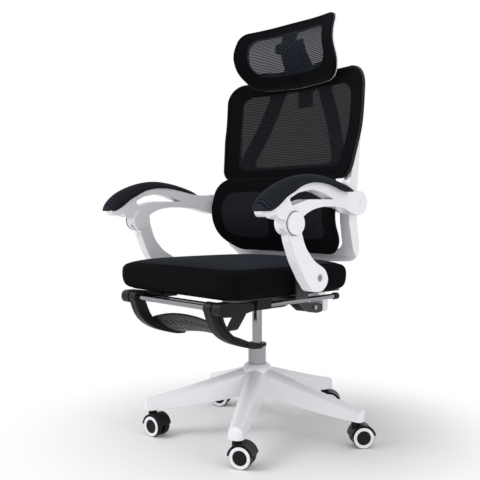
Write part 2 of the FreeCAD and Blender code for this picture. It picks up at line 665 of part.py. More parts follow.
def c_arm():
    """Side arm of the footrest: a hub on the shaft and a tapering hook below it, with a sunk face."""
    y, z = FOOT_PIVOT
    r = FOOT_HUB_R
    outer = [(y - r, z), (y - 12, z - 12), (y - 5, z - 32), (-298, 340), (-276, 319), (-240, 300), (-204, 288),
             (-172, 281), (-150, 280)]
    inner = [(-150, 287), (-172, 294), (-204, 303), (-234, 316), (-258, 334), (-273, 356), (-283, 380), (y + r, z)]
    edges = [
        curve(outer, "yz", CARM_IN),
        Part.Arc(to_space("yz", -150, 280, CARM_IN), to_space("yz", -146, 283.5, CARM_IN),
                 to_space("yz", -150, 287, CARM_IN)).toShape(),
        curve(inner, "yz", CARM_IN),
        straight((y + r, z), (y - r, z), "yz", CARM_IN),
    ]
    hook = Part.Face(Part.Wire(edges)).extrude(V(CARM_OUT - CARM_IN, 0, 0))
    hub = rod("x", FOOT_PIVOT, r, CARM_IN, CARM_OUT)
    body = fuse([hook, hub])
    low = [(-306, 366), (-292, 341), (-268, 321), (-236, 304), (-196, 291)]
    high = [(-198, 297), (-232, 309), (-261, 330), (-281, 353), (-292, 374)]
    groove = Part.Face(Part.Wire([
        curve(low, "yz", CARM_OUT - 3),
        straight(low[-1], high[0], "yz", CARM_OUT - 3),
        curve(high, "yz", CARM_OUT - 3),
        straight(high[-1], low[0], "yz", CARM_OUT - 3),
    ])).extrude(V(6, 0, 0))
    body = body.cut(groove)
    return body.cut(rod("x", FOOT_PIVOT, FOOT_SHAFT_R + RUN_FIT, CARM_IN - 1, CARM_OUT + 1))


def pad_section(x, rise):
    """Side profile of the footrest plate at one place across its width."""
    a = (-262, 336 + rise)
    m = (-214, 300 + rise * 0.8)
    b = (-154, 285 + rise * 0.6)
    edges = [
        Part.Arc(V(x, *a), V(x, *m), V(x, *b)).toShape(),
        Part.LineSegment(V(x, *b), V(x, b[0] + 1, b[1] + PAD_SHEET)).toShape(),
        Part.Arc(V(x, b[0] + 1, b[1] + PAD_SHEET), V(x, m[0] + 2, m[1] + PAD_SHEET),
                 V(x, a[0] + 3, a[1] + PAD_SHEET)).toShape(),
        Part.LineSegment(V(x, a[0] + 3, a[1] + PAD_SHEET), V(x, *a)).toShape(),
    ]
    return Part.Wire(edges)


def footrest_pad():
    """Arched plate between the side arms, with rows of slots."""
    stations = ((-CARM_IN, 0.0), (-96.0, 11.0), (-48.0, 18.0), (0.0, 20.0), (48.0, 18.0), (96.0, 11.0), (CARM_IN, 0.0))
    plate = Part.makeLoft([pad_section(x, rise) for x, rise in stations], True)
    slots = []
    for row, y0 in enumerate((-248.0, -216.0, -184.0)):
        for k in range(-5, 6):
            x = k * 22.0 + (0.0 if row % 2 else 4.0)
            slots.append(prism([(x - 3, y0, 2.5), (x + 3, y0, 2.5), (x + 9, y0 + 22, 2.5), (x + 3, y0 + 22, 2.5)],
                               "xy", 260, 380))
    return plate.cut(Part.makeCompound(slots))


def footrest_frame():
    """Both side arms of the footrest."""
    return both_sides(c_arm())


# Back: bracket, white frame, upper back, lumbar rest

BACK_PROFILE = ((134.0, 690.0), (153.0, 780.0), (173.0, 880.0), (181.0, 1000.0), (185.0, 1070.0))
RIM_OUTLINE = ((-250, 717, 46), (250, 717, 46), (269, 850, 260), (269, 1025, 60), (0, 1034, 900),
               (-269, 1025, 60), (-269, 850, 260))
LUMBAR_PROFILE = ((136.0, 480.0), (103.0, 532.0), (64.0, 600.0), (68.0, 668.0), (96.0, 745.0))
LUMBAR_OUTLINE = ((-188, 508, 66), (188, 508, 66), (241, 545, 60), (246, 640, 110), (240, 727, 50),
                  (-240, 727, 50), (-246, 640, 110), (-241, 545, 60))
LUMBAR_T = 12.0
HEAD_PROFILE = ((162.0, 970.0), (144.0, 1040.0), (121.0, 1100.0), (131.0, 1146.0), (156.0, 1200.0))
HEAD_OUTLINE = ((-158, 998, 66), (0, 992, 700), (158, 998, 66), (194, 1050, 60), (195, 1110, 200), (189, 1174, 32),
                (0, 1182, 900), (-189, 1174, 32), (-195, 1110, 200), (-194, 1050, 60))


def inset_outline(outline, middle, amount, round_less):
    """The same outline drawn in towards its middle."""
    corners = []
    for x, z, r in outline:
        dx = max(-amount, min(amount, middle[0] - x))
        dz = max(-amount, min(amount, middle[1] - z))
        corners.append((x + dx, z + dz, max(2.0, r - round_less)))
    return corners


def back_bracket():
    """Brown steel arm from the hinge under the seat to the foot of the back frame."""
    y, z = HINGE
    side = [(y - 12, z + 12, 11), (y - 12, z - 12, 11), (y + 40, z - 38, 30), (190, 324, 22), (232, 317, 30),
            (SPINE_FRONT, 320, 5), (SPINE_FRONT, 343, 3), (200, 350, 24), (y + 50, z - 8, 24), (y + 12, z + 12, 11)]
    body = prism(side, "yz", -BRACKET_HALF_W, BRACKET_HALF_W)
    inner = [(y + 22, z - 4, 6), (y + 22, z - 50, 0), (SPINE_FRONT + 1, 300, 0), (SPINE_FRONT + 1, 336, 0),
             (202, 342, 20), (y + 48, z - 16, 20)]
    body = body.cut(prism(inner, "yz", -BRACKET_HALF_W + 4, BRACKET_HALF_W - 4))
    return body.cut(rod("x", HINGE, PIVOT_PIN_R + RUN_FIT, -BRACKET_HALF_W - 1, BRACKET_HALF_W + 1))


def back_axle():
    """Steel pin of the recline hinge with its heads outside the tray."""
    pin = rod("x", HINGE, PIVOT_PIN_R, -MECH_HALF_W - 3, MECH_HALF_W + 3)
    head = rod("x", HINGE, 9.0, MECH_HALF_W, MECH_HALF_W + 4)
    return fuse([pin, head, mirrored(head)])


SPINE_FRONT = 256.0     # where the foot of the white frame meets the bracket


def frame_side_band():
    """Side view of the white frame: foot, spine behind the cushion, corner and upright."""
    outer = [(SPINE_FRONT, 320, 6), (279, 320, 10), (278, 356, 30), (228, 440, 60), (182, 512, 26), (146, 522, 18),
             (134, 600, 120), (135, 690, 120), (156, 860, 0), (136, 868, 6), (111, 720, 80), (99, 690, 100),
             (100, 600, 120), (118, 520, 20), (138, 502, 8), (138, 484, 8), (158, 478, 10), (196, 420, 50),
             (SPINE_FRONT, 352, 18)]
    return prism(outer, "yz", -300, 300)


def frame_front_band():
    """Front view of the white frame: narrow spine, cross bar with round corners, and two uprights."""
    right = [(26, 318, 6), (28, 400, 60), (40, 480, 34), (251, 492, 34), (249, 600, 200), (248, 700, 200),
             (245, 870, 4), (227, 870, 4), (219, 700, 200), (218, 600, 100), (215, 526, 22), (90, 516, 60)]
    left = [(-u, v, r) for u, v, r in right[::-1]]
    return prism(right + left, "xz", 60, 340)


def lumbar_strut():
    """Inner strut of one side loop, from the upright forward to the lumbar rest and back."""
    side = [(132, 722, 20), (104, 706, 30), (80, 660, 50), (78, 610, 60), (96, 560, 50), (132, 508, 8),
            (146, 520, 8), (114, 566, 50), (96, 612, 60), (97, 656, 50), (118, 692, 30), (136, 704, 6)]
    front = [(250, 722, 8), (226, 716, 30), (204, 664, 60), (200, 600, 60), (208, 548, 40), (232, 506, 10),
             (250, 512, 8), (230, 556, 40), (221, 602, 60), (224, 655, 60), (240, 690, 20), (250, 700, 6)]
    return prism(side, "yz", 180, 260).common(prism(front, "xz", 60, 170))


def arm_boss():
    """Lug on the upright that carries the rear pin of the armrest."""
    y, z = ARM_REAR
    lug = prism([(y - 20, z + 20, 19), (y + 50, z + 34, 20), (y + 50, z - 40, 20), (y - 20, z - 20, 19)],
                "yz", 226, ARM_FACE_IN - FACE_GAP)
    pin = rod("x", ARM_REAR, PIVOT_PIN_R, ARM_FACE_IN - 10, ARM_FACE_IN + 14)
    return fuse([lug, pin])


ARM_FACE_IN = 268.0
ARM_FACE_OUT = 300.0


def rim_space():
    """Everything in front of the rear face of the upper back, used to seat the frame on it."""
    slab = curved_slab(BACK_PROFILE, -60.0, 60.0 + MESH_T + RIM_T, BACK_AXIS_Y, 26.0)
    return slab.common(prism([(-300, 712, 0), (300, 712, 0), (300, 1060, 0), (-300, 1060, 0)], "xz", 0, 300))


def back_frame():
    """White back frame: lower sweep, uprights, side loops and armrest lugs in one moulding."""
    body = frame_side_band().common(frame_front_band())
    behind = prism([(262, 141, 0), (160, 147, 60), (72, 182, 30), (60, 340, 0), (262, 340, 0)], "xy", 440, 570)
    body = body.cut(behind).cut(mirrored(behind))
    strut = lumbar_strut()
    boss = arm_boss()
    body = body.fuse(strut).fuse(mirrored(strut)).fuse(boss).fuse(mirrored(boss))
    body = body.cut(rim_space())
    body = body.cut(lumbar_space())
    body = body.removeSplitter()
    return max(body.Solids, key=lambda s: s.Volume)


def lumbar_space():
    """Room of the lumbar rest and a gap behind it."""
    return curved_slab(LUMBAR_PROFILE, -60.0, 60.0 + LUMBAR_T + 9.0, LUMBAR_AXIS_Y, 16.0)


def back_rim():
    """Black frame of the upper back with its two leaning struts and the headrest socket."""
    slab = curved_slab(BACK_PROFILE, MESH_T, RIM_T, BACK_AXIS_Y, 26.0)
    body = slab.common(prism(list(RIM_OUTLINE), "xz", 0, 320))
    middle = [(-66, 988, 16), (66, 988, 16), (166, 762, 18), (-166, 762, 18)]
    body = body.cut(prism(middle, "xz", 0, 320))
    for side in (-1, 1):
        window = [(side * 112, 990, 12), (side * 222, 988, 34), (side * 223, 850, 250), (side * 209, 776, 7)]
        body = body.cut(prism(window, "xz", 0, 320))
    socket = prism([(-POST_HALF_W - 8, 986, 8), (POST_HALF_W + 8, 986, 8), (POST_HALF_W + 8, 1046, 6),
                    (-POST_HALF_W - 8, 1046, 6)], "xz", SOCKET_Y0 - 8, SOCKET_Y0 + POST_T + 5)
    body = body.fuse(socket)
    run = prism([(-POST_HALF_W - 0.3, 960, 0), (POST_HALF_W + 0.3, 960, 0), (POST_HALF_W + 0.3, 1060, 0),
                 (-POST_HALF_W - 0.3, 1060, 0)], "xz", SOCKET_Y0 - 0.3, SOCKET_Y0 + POST_T + 0.3)
    return body.cut(run).removeSplitter()


SOCKET_Y0 = 198.0


def back_mesh():
    """Mesh panel stretched over the front of the rim."""
    slab = curved_slab(BACK_PROFILE, 0.0, MESH_T, BACK_AXIS_Y, 26.0)
    return slab.common(prism(inset_outline(RIM_OUTLINE, (0, 880), 6.0, 6.0), "xz", 0, 320))


def lumbar_frame():
    """Black frame behind the lumbar mesh, with its two windows and the middle bar."""
    slab = curved_slab(LUMBAR_PROFILE, LUMBAR_T, 8.0, LUMBAR_AXIS_Y, 16.0)
    body = slab.common(prism(inset_outline(LUMBAR_OUTLINE, (0, 616), 5.0, 5.0), "xz", -60, 200))
    for side in (-1, 1):
        window = [(side * 24, 692, 18), (side * 210, 692, 32), (side * 214, 562, 32), (side * 176, 545, 34),
                  (side * 24, 545, 18)]
        body = body.cut(prism(window, "xz", -60, 200))
    return body


def lumbar_depth(face):
    """How far a face of the lumbar cover lies from the sitter; small faces count as far."""
    return face.CenterOfMass.y if face.Area > 50000 else 1000.0


def lumbar_pad():
    """Soft lumbar cover: thick in the middle band and drawn to the edge."""
    slab = curved_slab(LUMBAR_PROFILE, 0.0, LUMBAR_T - SOFT_GAP, LUMBAR_AXIS_Y, 16.0)
    pad = one_piece(slab.common(prism(list(LUMBAR_OUTLINE), "xz", -60, 200)))
    front = min(pad.Faces, key=lambda f: lumbar_depth(f))
    return pad.makeFillet(LUMBAR_T - 3.0, front.Edges)


def back_bolts():
    """Bolts that hold the frame to the bracket and the hex head at its side."""
    bolts = []
    for z in (335.0,):
        bolt = rod("x", (222, z), 7.0, -BRACKET_HALF_W - 4, -BRACKET_HALF_W)
        bolts.append(bolt)
        bolts.append(mirrored(bolt))
    return Part.makeCompound(bolts)


# Headrest

def headrest_post():
    """Black post that slides in the rim's socket and carries the headrest hinge."""
    y, z = HEAD_PIVOT
    side = [(SOCKET_Y0, 940, 2), (SOCKET_Y0 + POST_T, 940, 2), (SOCKET_Y0 + POST_T, 1062, 24), (y + 8, z + 6, 2),
            (y + 2, z - 8.5, 2), (SOCKET_Y0, 1050, 20)]
    body = prism(side, "yz", -POST_HALF_W, POST_HALF_W)
    barrel = rod("x", HEAD_PIVOT, 9.0, -POST_HALF_W, POST_HALF_W)
    body = fuse([body, barrel])
    return body.cut(rod("x", HEAD_PIVOT, 3.0 + RUN_FIT, -POST_HALF_W - 1, POST_HALF_W + 1))


def headrest_hub():
    """Black T-shaped bracket of the headrest with its hinge ears and pin."""
    y, z = HEAD_PIVOT
    slab = curved_slab(HEAD_PROFILE, MESH_T + HEAD_RIM_T, 5.0, HEAD_AXIS_Y, 25.0)
    plate = slab.common(prism([(-25, 1014, 6), (25, 1014, 6), (25, 1092, 6), (55, 1096, 10), (55, 1126, 10),
                               (-55, 1126, 10), (-55, 1096, 10), (-25, 1092, 6)], "xz", 0, 260))
    ears = []
    for x in (-POST_HALF_W - FACE_GAP - 6, POST_HALF_W + FACE_GAP):
        ear = prism([(y - 25, z + 13, 2), (y - 27, z - 13, 2), (y + 8, z - 9, 8), (y + 8, z + 9, 8)], "yz", x, x + 6)
        ears.append(ear)
    body = fuse([plate] + ears)
    pin = rod("x", HEAD_PIVOT, 3.0, -POST_HALF_W - 6, POST_HALF_W + 6)
    return fuse([body, pin])


HEAD_RIM_T = 7.0


def headrest_rim():
    """Black band of the headrest."""
    slab = curved_slab(HEAD_PROFILE, MESH_T, HEAD_RIM_T, HEAD_AXIS_Y, 25.0)
    body = slab.common(prism(list(HEAD_OUTLINE), "xz", -60, 260))
    for side in (-1, 1):
        window = [(side * 27, 1148, 10), (side * 148, 1144, 30), (side * 150, 1048, 32), (side * 27, 1042, 12)]
        body = body.cut(prism(window, "xz", -60, 260))
    return body


def headrest_mesh():
    """Mesh panel over the front of the headrest."""
    slab = curved_slab(HEAD_PROFILE, 0.0, MESH_T, HEAD_AXIS_Y, 25.0)
    return slab.common(prism(inset_outline(HEAD_OUTLINE, (0, 1090), 4.0, 4.0), "xz", -60, 260))


def headrest_frame():
    """Thin white frame round the back of the headrest."""
    slab = curved_slab(HEAD_PROFILE, MESH_T + HEAD_RIM_T, 4.0, HEAD_AXIS_Y, 25.0)
    body = slab.common(prism(list(HEAD_OUTLINE), "xz", -60, 260))
    return body.cut(prism(inset_outline(HEAD_OUTLINE, (0, 1090), 14.0, 12.0), "xz", -60, 260))


# Armrests

ARM_TOP = ((-298, 634), (-291, 628), (-279, 632), (-252, 649), (-215, 672), (-177, 688), (-132, 696),
           (-81, 694), (-36, 685), (0, 678), (38, 677), (80, 681))
ARM_LIP = ((-298, 634), (-295, 622), (-283, 615), (-270, 618), (-258, 622))
ARM_UNDER = ((-168, 614), (-140, 629), (-100, 638), (-45, 639), (10, 633), (50, 622), (80, 619))
SLOT = ((-214, 657, 4), (-205, 641, 4), (-150, 656, 90), (-48, 657, 0.8), (-92, 672, 60), (-138, 680, 60),
        (-184, 671, 40))


def arm_profile():
    """Side view of the white armrest moulding, without its slot."""
    y, z = ARM_REAR
    edges = [
        curve(ARM_TOP, "yz", 240.0),
        Part.Arc(to_space("yz", y, z + 31, 240), to_space("yz", y + 31, z, 240), to_space("yz", y, z - 31, 240)).toShape(),
        curve(ARM_UNDER[::-1], "yz", 240.0),
        straight(ARM_UNDER[0], (-182, 604), "yz", 240.0),
        straight((-182, 604), (-216, 606), "yz", 240.0),
        straight((-216, 606), (-250, 612), "yz", 240.0),
        straight((-250, 612), ARM_LIP[-1], "yz", 240.0),
        curve(ARM_LIP[::-1], "yz", 240.0),
    ]
    return Part.Face(Part.Wire(edges)).extrude(V(120, 0, 0))


def arm_plan():
    """Top view of the armrest: it draws in towards the frame at the rear."""
    outer = [(316, -302), (324, -280), (326, -220), (326, -120), (322, -60), (313, -10), (304, 36), (300, 76), (300, 116)]
    inner = [(268, 116), (268, 76), (271, 36), (278, -10), (285, -60), (288, -120), (289, -220), (290, -280), (297, -302)]
    edges = [
        curve(outer, "xy", 560.0),
        straight(outer[-1], inner[0], "xy", 560.0),
        curve(inner, "xy", 560.0),
        straight(inner[-1], outer[0], "xy", 560.0),
    ]
    return Part.Face(Part.Wire(edges)).extrude(V(0, 0, 180))


def barrel():
    """Pivot barrel with its disc; the tongue of the leg turns inside it."""
    body = rod("x", KNOB, BARREL_R, BARREL_IN, BARREL_OUT)
    rim = [e for e in body.Edges if e.BoundBox.XLength < 0.01]
    body = body.makeFillet(2.0, rim)
    neck = rod("x", KNOB, BARREL_R - 3.0, BARREL_OUT - 1, BARREL_OUT + 2)
    disc = rod("x", KNOB, BARREL_R - 0.5, BARREL_OUT + 1.5, BARREL_OUT + DISC_T)
    front = [e for e in disc.Edges if e.BoundBox.XMin > BARREL_OUT + DISC_T - 0.1]
    disc = disc.makeFillet(2.0, front)
    return fuse([body, neck, disc])


def tongue_room():
    """Slot in the barrel for the tongue of the leg, open over its whole turn."""
    y, z = KNOB
    room = rod("x", KNOB, EYE_R + 0.5, TONGUE_IN - FACE_GAP, TONGUE_IN + TONGUE_T + FACE_GAP)
    wedge = prism([(y, z, 0), (y - 60, z - 30, 0), (y - 60, z - 120, 0), (y + 60, z - 120, 0), (y + 60, z - 33, 0)], "yz",
                  TONGUE_IN - FACE_GAP, TONGUE_IN + TONGUE_T + FACE_GAP)
    ring = rod("x", KNOB, BARREL_R + 4, TONGUE_IN - FACE_GAP, TONGUE_IN + TONGUE_T + FACE_GAP)
    return room.fuse(wedge.common(ring))


def armrest():
    """White armrest: band, lower branch, slot, pivot barrel and rear eye."""
    y, z = ARM_REAR
    body = arm_profile().common(arm_plan())
    body = body.cut(prism(list(SLOT), "yz", 260, 350))
    body = body.fuse(barrel()).removeSplitter()
    body = body.cut(tongue_room())
    pin = rod("x", KNOB, PIVOT_PIN_R, TONGUE_IN - 2, TONGUE_IN + TONGUE_T + 2)
    body = body.fuse(pin)
    body = body.cut(rod("x", ARM_REAR, PIVOT_PIN_R + LINK_SLACK, ARM_FACE_IN - 1, ARM_FACE_IN + 15))
    dimple = rod("x", ARM_REAR, 5.5, ARM_FACE_OUT - 3, ARM_FACE_OUT + 3)
    return max(body.cut(dimple).removeSplitter().Solids, key=lambda s: s.Volume)


def arm_leg():
    """White link from the seat bracket to the barrel, with a tongue at the top and a recessed eye below."""
    y1, z1 = LEG_PIVOT
    y2, z2 = KNOB
    side = [(-206, 596, 0), (-196, 554, 60), (-176, 508, 90), (-146, 462, 60), (-122, 433, 22), (-78, 431, 32),
            (-63, 462, 24), (-76, 486, 30), (-116, 508, 90), (-150, 544, 90), (-168, 596, 0)]
    body = prism(side, "yz", LEG_IN, LEG_OUT)
    long_edges = [e for e in body.Edges if e.BoundBox.XLength < 0.01 and e.BoundBox.XMin > LEG_OUT - 0.1
                  and e.BoundBox.ZMax < 586]
    body = body.makeChamfer(2.5, long_edges)
    body = body.cut(rod("x", KNOB, BARREL_R + 0.5, LEG_IN - 1, LEG_OUT + 1))
    tongue = prism([(y2 - 8, z2, 0), (y2 - 4, z2 - 44, 0), (y2 + 22, z2 - 44, 0), (y2 + 10, z2, 0)], "yz",
                   TONGUE_IN, TONGUE_IN + TONGUE_T)
    eye = rod("x", KNOB, EYE_R, TONGUE_IN, TONGUE_IN + TONGUE_T)
    body = fuse([body, tongue, eye])
    body = body.cut(rod("x", KNOB, PIVOT_PIN_R + RUN_FIT, TONGUE_IN - 1, TONGUE_IN + TONGUE_T + 1))
    body = body.cut(rod("x", LEG_PIVOT, PIVOT_PIN_R + RUN_FIT, LEG_IN - 1, LEG_OUT + 1))
    return body.cut(rod("x", LEG_PIVOT, 9.0, LEG_OUT - 6, LEG_OUT + 1))


def pad_section_arm(y, low, high, half_w):
    """Cross section of the arm pad: flat below, upright sides and a crowned top."""
    side = low + (high - low) * 0.45
    a = V(PAD_MID_X - half_w, y, low)
    b = V(PAD_MID_X + half_w, y, low)
    c = V(PAD_MID_X + half_w, y, side)
    m = V(PAD_MID_X, y, high)
    d = V(PAD_MID_X - half_w, y, side)
    edges = [
        Part.LineSegment(a, b).toShape(),
        Part.LineSegment(b, c).toShape(),
        Part.Arc(c, m, d).toShape(),
        Part.LineSegment(d, a).toShape(),
    ]
    return Part.Wire(edges)


def arm_pad():
    """Soft pad that follows the top of the armrest, crowned across and thin at both ends."""
    w = PAD_HALF_W
    stations = ((-301, 622, 642, w - 12.0), (-294, 622, 655, w - 5.0), (-278, 624, 671, w - 1.0), (-244, 640, 691, w),
                (-190, 662, 709, w), (-128, 680, 716, w), (-70, 676, 710, w - 1.0),
                (-22, 668, 699, w - 3.0), (10, 664, 689, w - 7.0), (24, 662, 683, w - 14.0))
    body = Part.makeLoft([pad_section_arm(*s) for s in stations], True)
    floor = Part.Wire([
        curve(ARM_TOP, "yz", 240.0),
        straight(ARM_TOP[-1], (80, 560), "yz", 240.0),
        straight((80, 560), (-326, 560), "yz", 240.0),
        straight((-326, 560), ARM_TOP[0], "yz", 240.0),
    ])
    under = Part.Face(floor).extrude(V(140, 0, 0))
    under.translate(V(0, 0, SOFT_GAP))
    return max(body.cut(under).Solids, key=lambda s: s.Volume)


def build():
    """Write every piece of the chair."""
    write("base_star", base_star())
    write("column", column())
    write("column_collar", column_collar())
    write("caster_stems", caster_stems())
    write("piston_tube", piston_tube())
    write("valve_button", valve_button())
    hood = caster_hood()
    wheels = caster_wheels()
    rings = caster_rings()
    for k in range(len(LEG_ANGLES)):
        write("caster_%d_hood" % (k + 1), place_caster(hood, k))
        write("caster_%d_wheels" % (k + 1), place_caster(wheels, k))
        write("caster_%d_rings" % (k + 1), place_caster(rings, k))
    write("mechanism_housing", mechanism_housing())
    write("seat_plate", seat_plate())
    write("seat_cushion", seat_cushion())
    write("arm_brackets", arm_brackets())
    write("leg_bolts", seat_bolts())
    write("rail_guides", rail_guides())
    write("lever_cam", lever_cam())
    write("lever_rod", lever_rod())
    write("lever_paddle", lever_paddle())
    write("rails", rails())
    write("rail_end_caps", rail_end_caps())
    write("rail_connectors", rail_connectors())
    write("cross_bars", cross_bars())
    write("footrest_frame", footrest_frame())
    write("footrest_pad", footrest_pad())
    write("back_bracket", back_bracket())
    write("back_axle", back_axle())
    write("back_frame", back_frame())
    write("back_rim", back_rim())
    write("back_mesh", back_mesh())
    write("lumbar_frame", lumbar_frame())
    write("lumbar_pad", lumbar_pad())
    write("back_bolts", back_bolts())
    write("headrest_post", headrest_post())
    write("headrest_hub", headrest_hub())
    write("headrest_rim", headrest_rim())
    write("headrest_mesh", headrest_mesh())
    write("headrest_frame", headrest_frame())
    arm = armrest()
    leg = arm_leg()
    pad = arm_pad()
    write("arm_left", arm)
    write("arm_right", mirrored(arm))
    write("leg_left", leg)
    write("leg_right", mirrored(leg))
    write("arm_pad_left", pad)
    write("arm_pad_right", mirrored(pad))


build()
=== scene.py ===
# %% [markdown]
# A reclining office chair with a mesh back, a headrest and a footrest under the seat.
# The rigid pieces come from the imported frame, at their real size and place.
# This lesson gives them their finishes, and makes the soft pieces: cushion, pads and meshes.

# %% Load the frame
import json
import math

import bmesh
import bpy
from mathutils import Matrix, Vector
from mathutils.bvhtree import BVHTree


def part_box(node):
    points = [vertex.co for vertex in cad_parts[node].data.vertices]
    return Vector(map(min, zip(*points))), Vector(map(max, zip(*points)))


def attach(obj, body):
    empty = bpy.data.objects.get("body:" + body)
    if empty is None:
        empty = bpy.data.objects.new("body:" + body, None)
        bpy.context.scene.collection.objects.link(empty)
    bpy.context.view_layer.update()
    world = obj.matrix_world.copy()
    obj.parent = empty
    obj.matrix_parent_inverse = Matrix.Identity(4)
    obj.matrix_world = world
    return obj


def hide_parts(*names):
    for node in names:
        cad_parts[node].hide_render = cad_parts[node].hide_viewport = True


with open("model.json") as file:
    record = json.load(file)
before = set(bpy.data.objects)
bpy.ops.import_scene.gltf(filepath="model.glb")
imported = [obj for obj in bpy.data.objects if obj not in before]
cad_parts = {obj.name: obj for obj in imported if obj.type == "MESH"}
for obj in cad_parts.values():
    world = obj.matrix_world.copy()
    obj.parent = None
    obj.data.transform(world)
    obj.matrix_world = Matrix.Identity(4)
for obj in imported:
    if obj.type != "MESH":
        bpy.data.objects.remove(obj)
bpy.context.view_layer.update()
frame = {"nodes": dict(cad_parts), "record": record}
MM = 0.001
print("pieces in the frame:", len(frame["nodes"]))

# %% [markdown]
# Colours are written as the hex values that a picker shows, which are in sRGB. Shaders work in linear
# light, so one function turns the one into the other. A second one adds a node with its settings and
# links, which keeps a material to a few lines. A value that is the same all over a surface stays on the
# shader's own socket, and only what varies comes from nodes.

# %% Colours and nodes
def linear(code):
    """Linear RGBA of an sRGB hex colour."""
    values = [int(code[i:i + 2], 16) / 255.0 for i in (1, 3, 5)]
    return [v / 12.92 if v <= 0.04045 else ((v + 0.055) / 1.055) ** 2.4 for v in values] + [1.0]


def add_node(owner, kind, inputs=None, **settings):
    """Add one node to a material or world; an input is a plain value or another node's output."""
    tree = owner.node_tree
    node = tree.nodes.new(kind)
    # The settings come first, because they decide which sockets the node has.
    for name, value in settings.items():
        setattr(node, name, value)
    for name, value in (inputs or {}).items():
        if isinstance(value, bpy.types.NodeSocket):
            tree.links.new(value, node.inputs[name])
        else:
            node.inputs[name].default_value = value
    return node


def start_material(name, **sockets):
    """A material with its one shader; sockets set the shader's own plain values."""
    material = bpy.data.materials.new(name)
    material.use_nodes = True
    shader = material.node_tree.nodes["Principled BSDF"]
    for socket, value in sockets.items():
        shader.inputs[socket.replace("_", " ")].default_value = value
    return material, shader


def join(owner, output, target):
    """Link an output to a socket of a shader."""
    owner.node_tree.links.new(output, target)


# %% [markdown]
# White ABS is the base, the armrests and their legs, the frames of the back and the headrest, and the
# casters' rings: glossy mouldings straight out of a polished tool. They could be one flat white, but a
# real wall sinks a little as it cools, so highlights wander, and its colour drifts between two close
# shades. A noise draws each. A bevel node rounds the edges that catch the light, as the mould does, and
# leaves the mesh alone.

# %% White ABS
def tint(material, place, low, high, scale):
    """Colour that drifts between two close shades over a size in metres."""
    drift = add_node(material, "ShaderNodeTexNoise", {"Vector": place, "Scale": 1.0 / scale, "Detail": 3.0})
    return add_node(material, "ShaderNodeMix",
                    {"Factor": drift.outputs["Fac"], "A": linear(low), "B": linear(high)},
                    data_type="RGBA")


def moulded_abs_white():
    """Glossy white ABS, cool in the shade."""
    material, shader = start_material("moulded_abs_white", Roughness=0.22, IOR=1.53)
    place = add_node(material, "ShaderNodeTexCoord").outputs["Object"]
    colour = tint(material, place, "#E9E9F0", "#F3F3F7", 120 * MM)
    edge = add_node(material, "ShaderNodeBevel", {"Radius": 1.6 * MM}, samples=4)
    sink = add_node(material, "ShaderNodeTexNoise",
                    {"Vector": place, "Scale": 1.0 / (14 * MM), "Detail": 2.0})
    bump = add_node(material, "ShaderNodeBump",
                    {"Height": sink.outputs["Fac"], "Strength": 0.25, "Distance": 0.05 * MM,
                     "Normal": edge.outputs["Normal"]})
    join(material, colour.outputs["Result"], shader.inputs["Base Color"])
    join(material, bump.outputs["Normal"], shader.inputs["Normal"])
    return material


# %% [markdown]
# Black nylon with glass fibre is the casters, the footrest, the rails' fittings, the column's collar and
# the lever's paddle. The back's rim with its struts, the lumbar frame and the headrest's post, hub and rim
# are polypropylene, a little duller. Their tools are spark-eroded, so the skin has a fine grain that
# breaks the highlight up. A noise could draw it, but the cells of a Voronoi texture look more like it.
# They are drawn at 1.2 and 1.5 mm, coarser than a real grain, so that they show.

# %% Black plastics
WEAR = 0.07    # how far the roughness strays either way


def grained_plastic(name, low, high, roughness, grain):
    """Black moulding with an eroded skin; grain is its size in metres."""
    material, shader = start_material(name, Specular_IOR_Level=0.2)
    place = add_node(material, "ShaderNodeTexCoord").outputs["Object"]
    colour = tint(material, place, low, high, 60 * MM)
    skin = add_node(material, "ShaderNodeTexVoronoi", {"Vector": place, "Scale": 1.0 / grain})
    edge = add_node(material, "ShaderNodeBevel", {"Radius": 1.0 * MM}, samples=4)
    bump = add_node(material, "ShaderNodeBump",
                    {"Height": skin.outputs["Distance"], "Strength": 0.2, "Distance": 0.08 * MM,
                     "Normal": edge.outputs["Normal"]})
    wear = add_node(material, "ShaderNodeTexNoise",
                    {"Vector": place, "Scale": 1.0 / (45 * MM), "Detail": 4.0})
    rough = add_node(material, "ShaderNodeMapRange",
                     {"Value": wear.outputs["Fac"], "To Min": roughness - WEAR,
                      "To Max": roughness + WEAR})
    join(material, colour.outputs["Result"], shader.inputs["Base Color"])
    join(material, rough.outputs["Result"], shader.inputs["Roughness"])
    join(material, bump.outputs["Normal"], shader.inputs["Normal"])
    return material


# %% [markdown]
# The lift column is steel under grey enamel. The mechanism's tray, the seat plate and the arm brackets are
# powder coated black, and the back's bracket dark brown. Powder melts into a faint orange peel of about
# 2 mm. It is far too shallow to be in the mesh, so a noise in the bump draws it.

# %% Coated steel
SHADE = 0.82    # of the coat's colour, where it is darkest


def coated_steel(name, code, roughness, peel):
    """Steel under a coat of that colour; peel is the height of its orange peel in metres."""
    material, shader = start_material(name, Roughness=roughness, IOR=1.5)
    place = add_node(material, "ShaderNodeTexCoord").outputs["Object"]
    orange = add_node(material, "ShaderNodeTexNoise",
                      {"Vector": place, "Scale": 1.0 / (2 * MM), "Detail": 2.0})
    bump = add_node(material, "ShaderNodeBump",
                    {"Height": orange.outputs["Fac"], "Strength": 0.5, "Distance": peel})
    dark = [c * SHADE for c in linear(code)[:3]] + [1.0]
    drift = add_node(material, "ShaderNodeTexNoise",
                     {"Vector": place, "Scale": 1.0 / (70 * MM), "Detail": 3.0})
    colour = add_node(material, "ShaderNodeMix",
                      {"Factor": drift.outputs["Fac"], "A": linear(code), "B": dark},
                      data_type="RGBA")
    join(material, colour.outputs["Result"], shader.inputs["Base Color"])
    join(material, bump.outputs["Normal"], shader.inputs["Normal"])
    return material


